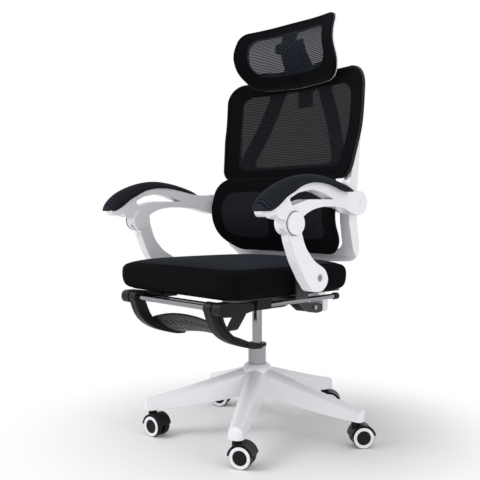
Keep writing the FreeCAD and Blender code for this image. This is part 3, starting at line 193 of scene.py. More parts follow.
# %% [markdown]
# Chromed steel is the lift's tube, the rails, and the shaft and brace between them. It is polished before
# it is plated, so it mirrors. Zinc-plated steel is the bolts, the caster stems, the back's axle, the cam,
# the valve's button and the lever's rod: duller. A metal's look is what it reflects, so a pattern in its
# colour would read as dirt. Only the roughness varies, in soft clouds, and the rest stays plain.

# %% Bare metals
def plated_steel(name, code, smooth, dull):
    """Plated steel whose roughness clouds between two values."""
    material, shader = start_material(name, Metallic=1.0, Base_Color=linear(code))
    place = add_node(material, "ShaderNodeTexCoord").outputs["Object"]
    cloud = add_node(material, "ShaderNodeTexNoise",
                     {"Vector": place, "Scale": 1.0 / (18 * MM), "Detail": 5.0})
    rough = add_node(material, "ShaderNodeMapRange",
                     {"Value": cloud.outputs["Fac"], "To Min": smooth, "To Max": dull})
    join(material, rough.outputs["Result"], shader.inputs["Roughness"])
    return material


# %% [markdown]
# The cushion, the pads and the lumbar cover are knitted polyester over foam. The knit is ribbed: on the
# cushion's side the ribs stand upright every 5 mm, and over the pads they run across. An image of the
# knit would need a UV map. Instead each cloth mesh carries a "thread" attribute, its place along and
# across the knit in metres, and sines of that place draw ribs and loops. The same sines darken the grooves
# and lighten the crests in the colour, which is painted shade and painted highlight. The loops are drawn
# every 2.4 mm, coarser than the real ones, so that they show.

# %% Ribbed knit
LOOP_PITCH = 2.4 * MM
LOOP_SHARE = 0.3    # height of a loop beside that of a rib


def ridges(material, place, pitch):
    """Sine that peaks once in every pitch metres of a place in the knit."""
    turn = add_node(material, "ShaderNodeMath", {0: place, 1: 2.0 * math.pi / pitch}, operation="MULTIPLY")
    return add_node(material, "ShaderNodeMath", {0: turn.outputs["Value"]}, operation="SINE").outputs["Value"]


def ribbed_knit(name, low, high, pitch, depth, sheen):
    """Black knit with ribs that far apart and that deep, in metres; low is the painted shade in its grooves
    and high the painted highlight on its crests.
    """
    material, shader = start_material(name, Roughness=0.85, Sheen_Weight=sheen, Sheen_Roughness=0.35,
                                      Sheen_Tint=linear("#8D96A6"), Specular_IOR_Level=0.02)
    thread = add_node(material, "ShaderNodeAttribute", attribute_name="thread").outputs["Vector"]
    parts = add_node(material, "ShaderNodeSeparateXYZ", {"Vector": thread})
    rib = ridges(material, parts.outputs["X"], pitch)
    loop = ridges(material, parts.outputs["Y"], LOOP_PITCH)
    knit = add_node(material, "ShaderNodeMath", {0: loop, 1: LOOP_SHARE, 2: rib}, operation="MULTIPLY_ADD")
    bump = add_node(material, "ShaderNodeBump",
                    {"Height": knit.outputs["Value"], "Strength": 0.8, "Distance": depth})
    # The colour follows the height of the knit: darker in the grooves and lighter on the crests, which is
    # painted shade and painted highlight.
    lift = add_node(material, "ShaderNodeMapRange",
                    {"Value": knit.outputs["Value"], "From Min": -1.0 - LOOP_SHARE,
                     "From Max": 1.0 + LOOP_SHARE})
    colour = add_node(material, "ShaderNodeMix",
                      {"Factor": lift.outputs["Result"], "A": linear(low), "B": linear(high)},
                      data_type="RGBA")
    join(material, colour.outputs["Result"], shader.inputs["Base Color"])
    join(material, bump.outputs["Normal"], shader.inputs["Normal"])
    return material


# %% [markdown]
# The back and the headrest wear an open mesh: strong threads run across, held by finer ones, with small
# gaps that let some of what is behind show. The threads are drawn every 5.0 mm on the back and every
# 4.4 mm on the headrest, coarser than the real ones. Gaps cut into the mesh would take millions of
# faces, and from a step away they blur anyway. So the whole cloth is see-through by a small share, which
# the pattern moves up and down.

# %% Open mesh
CROSS_PITCH = 3.1 * MM     # of the fine threads that hold the strong ones
CROSS_SHARE = 0.35         # their height beside that of a strong thread
STRAY_SIZE = 35 * MM       # over which a thread strays from its line
STRAY = 5.0                # how far it strays, in radians of its pitch
CLOSED_FROM = 0.4          # height of the weave above which nothing shows through
GAP_DEPTH = 2.6            # see-through of the deepest gap, in times the openness


def open_mesh(name, low, high, row, openness):
    """Black mesh with a thread across every row metres; four fifths of openness shows through on average. Its
    colour is low between the threads and high on them: painted shade and painted highlight.
    """
    material, shader = start_material(name, Roughness=0.8, Sheen_Weight=0.05, Sheen_Roughness=0.4,
                                      Sheen_Tint=linear("#9AA0AC"), Specular_IOR_Level=0.08)
    thread = add_node(material, "ShaderNodeAttribute", attribute_name="thread").outputs["Vector"]
    wander = add_node(material, "ShaderNodeTexNoise",
                      {"Vector": thread, "Scale": 1.0 / STRAY_SIZE, "Detail": 3.0})
    parts = add_node(material, "ShaderNodeSeparateXYZ", {"Vector": thread})
    across = add_node(material, "ShaderNodeMath", {0: parts.outputs["Y"], 1: 2.0 * math.pi / row},
                      operation="MULTIPLY")
    swing = add_node(material, "ShaderNodeMath",
                     {0: wander.outputs["Fac"], 1: STRAY, 2: across.outputs["Value"]},
                     operation="MULTIPLY_ADD")
    line = add_node(material, "ShaderNodeMath", {0: swing.outputs["Value"]}, operation="SINE")
    loop = ridges(material, parts.outputs["X"], CROSS_PITCH)
    weave = add_node(material, "ShaderNodeMath", {0: loop, 1: CROSS_SHARE, 2: line.outputs["Value"]},
                     operation="MULTIPLY_ADD")
    # The colour follows the height of the weave: darker in its hollows and lighter on the threads, which is
    # painted shade and painted highlight.
    lift = add_node(material, "ShaderNodeMapRange",
                    {"Value": weave.outputs["Value"], "From Min": -1.0 - CROSS_SHARE,
                     "From Max": 1.0 + CROSS_SHARE})
    colour = add_node(material, "ShaderNodeMix",
                      {"Factor": lift.outputs["Result"], "A": linear(low), "B": linear(high)},
                      data_type="RGBA")
    cover = add_node(material, "ShaderNodeMapRange",
                     {"Value": weave.outputs["Value"], "From Min": -1.0 - CROSS_SHARE,
                      "From Max": CLOSED_FROM, "To Min": 1.0 - GAP_DEPTH * openness, "To Max": 1.0})
    bump = add_node(material, "ShaderNodeBump",
                    {"Height": weave.outputs["Value"], "Strength": 0.6, "Distance": 0.25 * MM})
    join(material, colour.outputs["Result"], shader.inputs["Base Color"])
    join(material, cover.outputs["Result"], shader.inputs["Alpha"])
    join(material, bump.outputs["Normal"], shader.inputs["Normal"])
    return material


# %% [markdown]
# The frame's record names a slot for every piece, such as white_plastic or zinc_steel. Each piece could be
# given its finish by hand, but one table from slot to finish can't miss one. The back's rim, the lumbar
# frame and the headrest's post, hub and rim share the slot of the nylon pieces, so they are named apart.

# %% Give the rigid pieces their finishes
ABS_WHITE = moulded_abs_white()
NYLON_BLACK = grained_plastic("moulded_nylon_black", "#0A0A0B", "#111113", 0.42, 1.2 * MM)
PP_BLACK = grained_plastic("moulded_polypropylene_black", "#0A0A0B", "#101012", 0.55, 1.5 * MM)
ENAMEL_GREY = coated_steel("enamelled_steel_grey", "#AEB0B5", 0.35, 0.03 * MM)
POWDER_BLACK = coated_steel("powder_coated_steel_black", "#1C1C1E", 0.5, 0.06 * MM)
POWDER_BROWN = coated_steel("powder_coated_steel_brown", "#2B2522", 0.45, 0.06 * MM)
CHROME = plated_steel("chromed_steel", "#8F9196", 0.08, 0.16)
ZINC = plated_steel("zinc_plated_steel", "#9C9DA0", 0.3, 0.45)

SLOT_FINISH = {
    "white_plastic": ABS_WHITE,
    "black_plastic": NYLON_BLACK,
    "grey_steel": ENAMEL_GREY,
    "black_steel": POWDER_BLACK,
    "brown_steel": POWDER_BROWN,
    "chromed_steel": CHROME,
    "zinc_steel": ZINC,
}
BACK_PLASTIC = ("back_rim", "lumbar_frame", "headrest_post", "headrest_hub", "headrest_rim")


def finish_rigid_pieces():
    """Give every rigid node the finish of its slot; the soft nodes are replaced further on."""
    slots = {part["node"]: part["material_slot"] for part in frame["record"]["subparts"]}
    finished = 0
    for name, piece in frame["nodes"].items():
        finish = PP_BLACK if name in BACK_PLASTIC else SLOT_FINISH.get(slots[name])
        if finish is None:
            continue
        for socket in piece.material_slots:
            socket.material = finish
        finished += 1
    print("rigid pieces finished:", finished)


finish_rigid_pieces()

# %% [markdown]
# Every soft piece is fitted to the solid that the frame holds for it, so it sits where the maker put it.
# That solid's own faces could be reused, but they are long slivers that shade badly. Instead rays find
# places on its surface, and rows of such places, ring above ring, make a clean net of quads.

# %% Measuring a solid with rays
REACH = 2.0            # metres from the origin to where a ray from outside starts
SWEEP = 720            # directions in which an outline is searched
OUTLINE_LIMIT = 0.5    # metres from its middle that no outline passes
HALVINGS = 14          # of that distance, for each direction


def surface_of(piece):
    """Search tree of a piece's faces, for rays."""
    mesh = piece.data
    corners = [piece.matrix_world @ vertex.co for vertex in mesh.vertices]
    return BVHTree.FromPolygons(corners, [face.vertices for face in mesh.polygons])


def ray_to(tree, origin, way):
    """Where a ray from inside a solid meets its surface, or None."""
    return tree.ray_cast(origin, way.normalized())[0]


def front_of(tree, x, z):
    """Where a ray from in front of the chair meets a solid, or None."""
    return tree.ray_cast(Vector((x, -REACH, z)), Vector((0.0, 1.0, 0.0)))[0]


def top_of(tree, x, y):
    """Where a ray from above the chair meets a solid, or None."""
    return tree.ray_cast(Vector((x, y, REACH)), Vector((0.0, 0.0, -1.0)))[0]


def outline_of(tree, centre, axis):
    """Outline of a solid seen along Y or Z: the furthest place each way that a ray still meets."""
    points = []
    for i in range(SWEEP):
        turn = 2.0 * math.pi * i / SWEEP
        if axis == "Y":
            way = Vector((math.cos(turn), 0.0, math.sin(turn)))
            look = Vector((0.0, 1.0, 0.0))
        else:
            way = Vector((math.cos(turn), math.sin(turn), 0.0))
            look = Vector((0.0, 0.0, -1.0))
        near, far = 0.0, OUTLINE_LIMIT
        for _ in range(HALVINGS):
            middle = (near + far) / 2.0
            if tree.ray_cast(centre + way * middle - look, look)[0] is None:
                far = middle
            else:
                near = middle
        points.append(centre + way * near)
    return points


def evenly(points, count):
    """The same closed outline with its points evenly spaced, and its length."""
    lengths = [0.0]
    for i in range(len(points)):
        lengths.append(lengths[-1] + (points[(i + 1) % len(points)] - points[i]).length)
    total = lengths[-1]
    result = []
    k = 0
    for i in range(count):
        want = total * i / count
        while lengths[k + 1] < want:
            k += 1
        share = (want - lengths[k]) / max(lengths[k + 1] - lengths[k], 1e-9)
        result.append(points[k].lerp(points[(k + 1) % len(points)], share))
    return result, total


def net(name, rows, threads, closed_start, closed_end):
    """Mesh of rings of points. threads holds each point's place in the knit; an end can be closed."""
    mesh = bpy.data.meshes.new(name)
    around = len(rows[0])
    points = [p for row in rows for p in row]
    places = [t for row in threads for t in row]
    faces = []
    for r in range(len(rows) - 1):
        for c in range(around):
            after = (c + 1) % around
            faces.append((r * around + c, r * around + after,
                          (r + 1) * around + after, (r + 1) * around + c))
    for closed, row, flip in ((closed_start, 0, True), (closed_end, len(rows) - 1, False)):
        if not closed:
            continue
        middle = sum((rows[row][c] for c in range(around)), Vector()) / around
        index = len(points)
        points.append(middle)
        places.append(sum((Vector(threads[row][c]) for c in range(around)), Vector()) / around)
        for c in range(around):
            a, b = row * around + c, row * around + (c + 1) % around
            faces.append((b, a, index) if flip else (a, b, index))
    mesh.from_pydata([tuple(p) for p in points], [], faces)
    layer = mesh.attributes.new("thread", "FLOAT_VECTOR", "POINT")
    for i, place in enumerate(places):
        layer.data[i].vector = place
    mesh.polygons.foreach_set("use_smooth", [True] * len(mesh.polygons))
    piece = bpy.data.objects.new(name, mesh)
    bpy.context.scene.collection.objects.link(piece)
    return piece


# %% [markdown]
# A cushion looks stuffed because its cover is tight over foam. It could be sculpted, but Blender's cloth
# finds the crown and the drawn-in corners by itself: the solid is remeshed, shrunk a little, filled with
# pressure and let go for twenty frames. How far a point may move is capped, so that the cushion keeps its
# size.

# %% Stuffing with cloth pressure
FRAMES = 20


def stuffed(piece, voxel, shrink, pressure, cap):
    """Search tree of a padded copy of a solid: remeshed, shrunk, then blown up by cloth pressure."""
    body = bpy.data.objects.new("stuffing", piece.data.copy())
    bpy.context.scene.collection.objects.link(body)
    bpy.context.view_layer.objects.active = body
    remesh = body.modifiers.new("voxels", "REMESH")
    remesh.mode = "VOXEL"
    remesh.voxel_size = voxel
    soften = body.modifiers.new("soften", "SMOOTH")
    soften.iterations = 4
    graph = bpy.context.evaluated_depsgraph_get()
    mesh = bpy.data.meshes.new_from_object(body.evaluated_get(graph))
    body.modifiers.clear()
    body.data = mesh
    for vertex in mesh.vertices:
        vertex.co = vertex.co - vertex.normal * shrink
    start = [vertex.co.copy() for vertex in mesh.vertices]
    cloth = body.modifiers.new("cloth", "CLOTH")
    cloth.settings.quality = 4
    cloth.settings.mass = 0.3
    cloth.settings.tension_stiffness = 18.0
    cloth.settings.compression_stiffness = 12.0
    cloth.settings.shear_stiffness = 6.0
    cloth.settings.bending_stiffness = 1.5
    cloth.settings.use_pressure = True
    cloth.settings.uniform_pressure_force = pressure
    cloth.settings.effector_weights.gravity = 0.0
    cloth.point_cache.frame_start = 1
    cloth.point_cache.frame_end = FRAMES
    for step in range(1, FRAMES + 1):
        bpy.context.scene.frame_set(step)
    graph = bpy.context.evaluated_depsgraph_get()
    moved = body.evaluated_get(graph).data
    shape = bmesh.new()
    shape.from_mesh(moved)
    shape.verts.ensure_lookup_table()
    for i, vertex in enumerate(shape.verts):
        push = vertex.co - start[i]
        if push.length > cap:
            vertex.co = start[i] + push * (cap / push.length)
    bmesh.ops.smooth_vert(shape, verts=shape.verts, factor=0.5, use_axis_x=True, use_axis_y=True,
                          use_axis_z=True)
    tree = BVHTree.FromBMesh(shape)
    shape.free()
    bpy.data.objects.remove(body)
    bpy.context.scene.frame_set(1)
    return tree


# %% [markdown]
# The seat cushion has a top panel sewn to a side band that runs all round. The band's ribs stand upright,
# and where the two panels meet a seam pulls the cover in by 1.6 mm. The stuffed copy has no clean edge to
# sew along, so it only gives the shape: rings are laid on it up the band and over the top, and the rings
# at the seam are pulled in.

# %% Seat cushion
SEAT_KNIT = ribbed_knit("ribbed_polyester_knit_side", "#020203", "#19191C", 5 * MM, 0.8 * MM, 0.02)
# The top's knit is a lighter, bluer copy of the side's: painted light of the sky on the top panel.
SKY_LIT_TOP_KNIT = ribbed_knit("ribbed_polyester_knit_top_painted_sky_light", "#0F1013", "#17191E", 4 * MM, 0.3 * MM, 0.2)
SEAT_POINTS = 480             # in each ring
UNDERSIDE_LIFT = 0.5 * MM     # of the cover above the lowest point of its solid
UNDER_SHARES = (0.3, 0.7, 0.9)                                             # of the outline
BAND_LEVELS = (0.0, 4.0, 9.0, 16.0, 24.0, 33.0, 42.0, 50.0, 57.0, 63.0)    # mm above the underside
SEAM_HEIGHT = 69 * MM
SEAM_LEVELS = (-3.0, -1.2, 0.0, 1.2, 3.0)                                  # mm from the seam
SEAM_PINCH = 1.6 * MM         # how deep the seam pulls in, and how far beside it that fades
# Shares of the last ring of the band, for the rings of the top panel.
TOP_SHARES = (0.985, 0.965, 0.94, 0.91, 0.87, 0.82, 0.76, 0.68, 0.59, 0.49, 0.38, 0.27, 0.16, 0.07)
MISSED_SHARE = 0.96           # of the outline, for a ray that meets nothing


def seat_cushion():
    """Crowned cushion with a side band, a sewn seam and a flat underside."""
    solid = frame["nodes"]["seat_cushion"]
    low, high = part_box("seat_cushion")
    tree = stuffed(solid, voxel=9 * MM, shrink=3 * MM, pressure=4.0, cap=5 * MM)
    middle = Vector(((low[0] + high[0]) / 2, (low[1] + high[1]) / 2, low[2]))
    outline, around = evenly(outline_of(tree, middle, "Z"), SEAT_POINTS)
    rim = [p - middle for p in outline]
    along = [around * i / SEAT_POINTS for i in range(SEAT_POINTS)]
    floor = low[2] + UNDERSIDE_LIFT
    rows, threads = [], []
    for share in UNDER_SHARES:
        rows.append([Vector((middle.x + v.x * share, middle.y + v.y * share, floor)) for v in rim])
        threads.append([(place, share, 0.0) for place in along])
    for level in [h * MM for h in BAND_LEVELS] + [SEAM_HEIGHT + h * MM for h in SEAM_LEVELS]:
        pinch = SEAM_PINCH * math.exp(-((level - SEAM_HEIGHT) / SEAM_PINCH) ** 2)
        heart = Vector((middle.x, middle.y, floor + level))
        row = []
        for v in rim:
            way = Vector((v.x, v.y, 0.0))
            hit = ray_to(tree, heart, way)
            hit = hit if hit is not None else heart + v * MISSED_SHARE
            row.append(hit - way.normalized() * pinch)
        rows.append(row)
        threads.append([(place, level, 0.0) for place in along])
    side_rows = len(rows)
    edge = rows[-1]
    for share in TOP_SHARES:
        row = []
        for p in edge:
            x = middle.x + (p.x - middle.x) * share
            y = middle.y + (p.y - middle.y) * share
            hit = top_of(tree, x, y)
            row.append(Vector((x, y, hit.z if hit is not None else p.z)))
        rows.append(row)
        threads.append([(p.y, p.x, 0.0) for p in row])
    cushion = net("seat_cushion_cover", rows, threads, True, True)
    cushion.data.materials.append(SEAT_KNIT)
    cushion.data.materials.append(SKY_LIT_TOP_KNIT)
    for face in cushion.data.polygons:
        if min(face.vertices) >= side_rows * SEAT_POINTS:
            face.material_index = 1
    return cushion


seat = seat_cushion()
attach(seat, "seat")
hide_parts("seat_cushion")
print("seat cushion:", len(seat.data.vertices), "points")

# %% [markdown]
# An arm pad is a narrow foam strip that follows the armrest's curve, under the same knit. Its ribs run
# across, and they show on its outline from a step away, which a bump can't do. So they are in the mesh
# itself, 0.7 mm high, with four rings to a rib.

# %% Arm pads
RIB_PITCH = 4.8 * MM
RIB_HEIGHT = 0.7 * MM
RINGS_TO_A_RIB = 4
# Its crests are a light bluish grey and its grooves near black: painted highlight and painted shade on the
# ribs.
PAD_KNIT = ribbed_knit("ribbed_polyester_knit_pad", "#040405", "#33363E", RIB_PITCH, 0.5 * MM, 0.12)
PAD_POINTS = 44          # in each ring
PAD_GIRTH = 60 * MM      # of the knit round the pad
PAD_END = 0.6 * MM       # from the end of the solid to the first ring
PAD_TIP = 2 * MM         # radius of a ring, for a ray that meets nothing
SMOOTH_BELOW = -0.2      # sine of the way to a point: the underside below it has no ribs


def arm_pad(side):
    """Ribbed pad of one side, laid over its solid."""
    solid = frame["nodes"]["arm_pad_" + side]
    low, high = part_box("arm_pad_" + side)
    tree = surface_of(solid)
    x = (low[0] + high[0]) / 2
    length = high[1] - low[1]
    count = int(length / (RIB_PITCH / RINGS_TO_A_RIB))
    rows, threads = [], []
    for i in range(count + 1):
        y = low[1] + PAD_END + (length - 2 * PAD_END) * i / count
        top = top_of(tree, x, y)
        under = tree.ray_cast(Vector((x, y, 0.0)), Vector((0.0, 0.0, 1.0)))[0]
        if top is None or under is None:
            continue
        heart = Vector((x, y, (top.z + under.z) / 2))
        rise = RIB_HEIGHT * abs(math.cos(math.pi * (y - low[1]) / RIB_PITCH))
        row = []
        for k in range(PAD_POINTS):
            turn = 2.0 * math.pi * k / PAD_POINTS
            way = Vector((math.cos(turn), 0.0, math.sin(turn)))
            hit = ray_to(tree, heart, way)
            hit = hit if hit is not None else heart + way * PAD_TIP
            row.append(hit + way * (rise if math.sin(turn) > SMOOTH_BELOW else 0.0))
        rows.append(row)
        threads.append([(y, PAD_GIRTH * k / PAD_POINTS, 0.0) for k in range(PAD_POINTS)])
    pad = net("arm_pad_cover_" + side, rows, threads, True, True)
    pad.data.materials.append(PAD_KNIT)
    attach(pad, "arm_l" if side == "left" else "arm_r")
    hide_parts("arm_pad_" + side)
    print("arm pad", side, ":", len(pad.data.vertices), "points")


for side_name in ("left", "right"):
    arm_pad(side_name)

# %% [markdown]
# The meshes of the back and the headrest are stretched over their rims. Round an open window runs a closed
# knit band, with a sewn seam between the two, a round binding along the edge and the rim's white lip
# behind it. A cloth simulation would sag, which a mesh under this tension doesn't, so each is laid on the
# front of its solid, as rings that shrink from the edge to the window and on to the middle.

# %% Stretched meshes
BACK_MESH = open_mesh("knitted_polyester_mesh_back", "#08080A", "#1C1D22", 5.0 * MM, 0.13)
# The headrest's threads are lighter and bluer than the back's: painted cool light on the same black mesh.
HEAD_MESH = open_mesh("knitted_polyester_mesh_head", "#0D0E13", "#252934", 4.4 * MM, 0.25)
BAND_KNIT = ribbed_knit("ribbed_polyester_knit_band", "#08080A", "#131317", 3.2 * MM, 0.2 * MM, 0.1)
BINDING = ribbed_knit("woven_polyester_binding", "#0C0C0E", "#17181B", 2.0 * MM, 0.15 * MM, 0.15)
EDGE_POINTS = 240             # in each ring
BAND_ROWS = 8                 # from the edge to the window
WINDOW_ROWS = 16              # from the window's edge to the middle
ARC_STEPS = 60                # in which a line over a sheet is measured
CLOTH_THICKNESS = 0.9 * MM
SEAM_RADIUS = 1.0 * MM
SEAM_SINK = 0.2 * MM
LIP_RADIUS = 2.6 * MM
LIP_BEHIND = 9 * MM           # from the edge of the mesh back to the white lip


def sheet_rows(tree, outline, inner, centre):
    """Rings of points on the front face of a sheet: from its edge to the window's, then to the middle."""
    rows, threads = [], []
    steps = [(outline, inner, k / BAND_ROWS) for k in range(BAND_ROWS + 1)]
    steps += [(inner, [centre] * len(inner), (k + 1) / (WINDOW_ROWS + 1)) for k in range(WINDOW_ROWS)]
    for start, end, share in steps:
        row = []
        for p, q in zip(start, end):
            x = p.x + (q.x - p.x) * share
            z = p.z + (q.z - p.z) * share
            hit = front_of(tree, x, z)
            row.append(Vector((x, hit.y, z)) if hit is not None else None)
        rows.append(row)
    # A ray along the very edge can miss, and then the point takes the place of its neighbour.
    for row in rows:
        for i, p in enumerate(row):
            if p is None:
                near = [q for q in (row[i - 1], row[(i + 1) % len(row)]) if q is not None]
                row[i] = near[0].copy() if near else rows[1][i].copy()
        threads.append([(p.x, p.z, 0.0) for p in row])
    return rows, threads


def bound_edge(name, row, radius, finish):
    """Round binding sewn along a closed row of points."""
    line = bpy.data.curves.new(name, "CURVE")
    line.dimensions = "3D"
    line.bevel_depth = radius
    line.bevel_resolution = 3
    spline = line.splines.new("POLY")
    spline.points.add(len(row) - 1)
    for i, p in enumerate(row):
        spline.points[i].co = (p.x, p.y, p.z, 1.0)
    spline.use_cyclic_u = True
    holder = bpy.data.objects.new(name, line)
    bpy.context.scene.collection.objects.link(holder)
    graph = bpy.context.evaluated_depsgraph_get()
    mesh = bpy.data.meshes.new_from_object(holder.evaluated_get(graph))
    bpy.data.objects.remove(holder)
    layer = mesh.attributes.new("thread", "FLOAT_VECTOR", "POINT")
    for i, vertex in enumerate(mesh.vertices):
        layer.data[i].vector = (vertex.co.x + vertex.co.z, vertex.co.y, 0.0)
    mesh.materials.clear()
    mesh.materials.append(finish)
    mesh.polygons.foreach_set("use_smooth", [True] * len(mesh.polygons))
    piece = bpy.data.objects.new(name, mesh)
    bpy.context.scene.collection.objects.link(piece)
    return piece


def arc(tree, start, end):
    """Length of a line over the front of a sheet, from one (x, z) place to another."""
    shares = [k / ARC_STEPS for k in range(ARC_STEPS + 1)]
    hits = [front_of(tree, start[0] + (end[0] - start[0]) * k, start[1] + (end[1] - start[1]) * k)
            for k in shares]
    hits = [hit for hit in hits if hit is not None]
    return sum((b - a).length for a, b in zip(hits, hits[1:]))


def window_edge(outline, low, high, side, top, bottom):
    """Outline of the open window inside a band that is so wide at the sides, above and below."""
    middle = Vector(((low[0] + high[0]) / 2, 0.0, (low[2] + high[2]) / 2))
    half_wide = (high[0] - low[0]) / 2
    half_tall = (high[2] - low[2]) / 2
    inner = []
    for p in outline:
        x = middle.x + (p.x - middle.x) * (1.0 - side / half_wide)
        band = top if p.z > middle.z else bottom
        inner.append(Vector((x, 0.0, middle.z + (p.z - middle.z) * (1.0 - band / half_tall))))
    return inner


def stretched_mesh(node, body, finish, edge_radius, band):
    """Open mesh over a rim; band is its width at the sides, above and below."""
    low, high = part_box(node)
    tree = surface_of(frame["nodes"][node])
    centre = Vector(((low[0] + high[0]) / 2, 0.0, (low[2] + high[2]) / 2))
    outline, around = evenly(outline_of(tree, centre, "Y"), EDGE_POINTS)
    inner = window_edge(outline, low, high, *band)
    rows, threads = sheet_rows(tree, outline, inner, centre)
    piece = net(node + "_cloth", rows, threads, False, True)
    piece.data.materials.append(finish)
    piece.data.materials.append(BAND_KNIT)
    for face in piece.data.polygons:
        if max(face.vertices) < (BAND_ROWS + 1) * len(outline):
            face.material_index = 1
    thick = piece.modifiers.new("thread thickness", "SOLIDIFY")
    thick.thickness = CLOTH_THICKNESS
    thick.offset = -1.0
    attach(piece, body)
    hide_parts(node)
    across = arc(tree, (low[0], centre.z), (high[0], centre.z))
    upright = arc(tree, (centre.x, low[2]), (centre.x, high[2]))
    sunk = [p + Vector((0.0, SEAM_SINK, 0.0)) for p in rows[BAND_ROWS]]
    behind = [p + Vector((0.0, LIP_BEHIND, 0.0)) for p in rows[0]]
    binding = bound_edge(node + "_binding", rows[0], edge_radius, BINDING)
    seam = bound_edge(node + "_seam", sunk, SEAM_RADIUS, BINDING)
    lip = bound_edge(node + "_rear_lip", behind, LIP_RADIUS, ABS_WHITE)
    for trim, finish_slot in ((binding, "black_mesh"), (seam, "black_mesh"), (lip, "white_plastic")):
        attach(trim, body)
    print(node, ":", len(piece.data.vertices), "points, edge", round(around, 3), "m")


stretched_mesh("back_mesh", "back", BACK_MESH, edge_radius=3.0 * MM, band=(44 * MM, 38 * MM, 30 * MM))
stretched_mesh("headrest_mesh", "headrest", HEAD_MESH, edge_radius=3.2 * MM,
               band=(40 * MM, 24 * MM, 34 * MM))

# %% [markdown]
# The lumbar rest is a thin foam pad under a smooth knit, with two sheer windows where there is no foam.
# The windows' knit is drawn lighter than the border's: painted light that shows through the thin cloth.
# The windows could be pieces of their own, but the real cover is one cloth. So it is laid on its solid
# like the meshes, and a smooth function of the place sinks the windows by about 2 mm, with a soft
# shoulder and shallow upright ripples.

# %% Lumbar rest
LUMBAR_KNIT = ribbed_knit("smooth_polyester_knit_lumbar", "#070708", "#0F0F12", 3.0 * MM, 0.12 * MM, 0.1)
# Lighter than the border's knit: painted light that shows through the sheer windows.
LIT_SHEER_KNIT = ribbed_knit("sheer_polyester_knit_lumbar_painted_light", "#16161A", "#26272C", 3.6 * MM, 0.25 * MM, 0.2)
LUMBAR_POINTS = 300                # in each ring
LUMBAR_BORDER = 0.93               # of the outline; outside it the rings lie closer together
REAR_SHARES = (0.9, 0.97, 0.995)   # of the outline, for the rings at the rear
FINER = 3                          # rings laid for each one of the front
WINDOW_MIDDLE = 0.46               # of half the pad's width, from its middle to a window's
WINDOW_HALF_WIDTH = 0.36           # of half the pad's width
WINDOW_HALF_HEIGHT = 0.62          # of half the pad's height
WINDOW_SINK = 2.2 * MM
RIPPLE = 0.7 * MM
RIPPLE_PITCH = 13 * MM


def window_depth(x, z, low, high):
    """How deep the cover sinks at a place: 0 on the border, 1 in the windows."""
    wide = (high[0] - low[0]) / 2
    tall = (high[2] - low[2]) / 2
    u = (abs(x) - wide * WINDOW_MIDDLE) / (wide * WINDOW_HALF_WIDTH)
    v = (z - (low[2] + high[2]) / 2) / (tall * WINDOW_HALF_HEIGHT)
    return 1.0 / (1.0 + (abs(u) ** 4 + abs(v) ** 4) ** 3)


def finer(tree, rows, times):
    """The same rings with more of them, each laid on the solid again."""
    result = []
    for first, second in zip(rows, rows[1:]):
        for k in range(times):
            row = []
            for p, q in zip(first, second):
                spot = p.lerp(q, k / times)
                hit = front_of(tree, spot.x, spot.z)
                row.append(Vector((spot.x, hit.y, spot.z)) if hit is not None else spot)
            result.append(row)
    result.append(rows[-1])
    return result, [[(p.x, p.z, 0.0) for p in row] for row in result]


def lumbar_cover():
    """Padded lumbar cover with its round edge and sunk windows."""
    low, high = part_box("lumbar_pad")
    tree = surface_of(frame["nodes"]["lumbar_pad"])
    centre = Vector((0.0, 0.0, (low[2] + high[2]) / 2))
    outline, _ = evenly(outline_of(tree, centre, "Y"), LUMBAR_POINTS)
    inner = [centre + (Vector((p.x, 0.0, p.z)) - centre) * LUMBAR_BORDER for p in outline]
    front, _ = sheet_rows(tree, outline, inner, centre)
    front, threads = finer(tree, front, FINER)
    for row in front:
        for p in row:
            ripple = RIPPLE * math.sin(2.0 * math.pi * p.x / RIPPLE_PITCH)
            p.y += window_depth(p.x, p.z, low, high) * (WINDOW_SINK + ripple)
    rear = []
    for share in REAR_SHARES:
        row = []
        for p in outline:
            x = centre.x + (p.x - centre.x) * share
            z = centre.z + (p.z - centre.z) * share
            hit = tree.ray_cast(Vector((x, REACH, z)), Vector((0.0, -1.0, 0.0)))[0]
            row.append(hit.copy() if hit is not None else Vector((x, front[0][len(row)].y, z)))
        rear.append(row)
    rows = rear + front
    places = [[(p.x, p.z, 0.0) for p in row] for row in rear] + threads
    cover = net("lumbar_cover", rows, places, True, True)
    cover.data.materials.append(LUMBAR_KNIT)
    cover.data.materials.append(LIT_SHEER_KNIT)
    for face in cover.data.polygons:
        if face.normal.y < 0.0 and window_depth(face.center.x, face.center.z, low, high) > 0.5:
            face.material_index = 1
    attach(cover, "back")
    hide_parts("lumbar_pad")
    print("lumbar cover:", len(cover.data.vertices), "points")


lumbar_cover()

# %% [markdown]
# A black ring lies in the groove between each armrest pivot's barrel and its disc, and draws the dark
# ring round the disc. It is painted shade: a dark piece where the gap only lies in shadow. A dark line
# could be painted there, but it would have no depth and would need a finish of its own on a part of the
# moulding. A section swept round the neck as a net takes a few lines.

# %% Painted gap shade
KNOB_Y = -195 * MM        # the pivot's axis
KNOB_Z = 600 * MM
PAINTED_GAP_SHADE_X = 325.75 * MM    # the middle of a groove 1.5 mm wide
PAINTED_GAP_SHADE_POINTS = 64
# Radius and shift in mm: out from the neck, over the edge and back.
PAINTED_GAP_SHADE_SECTION = ((25.2, -0.72), (28.6, -0.72), (28.9, 0.0), (28.6, 0.72), (25.2, 0.72))


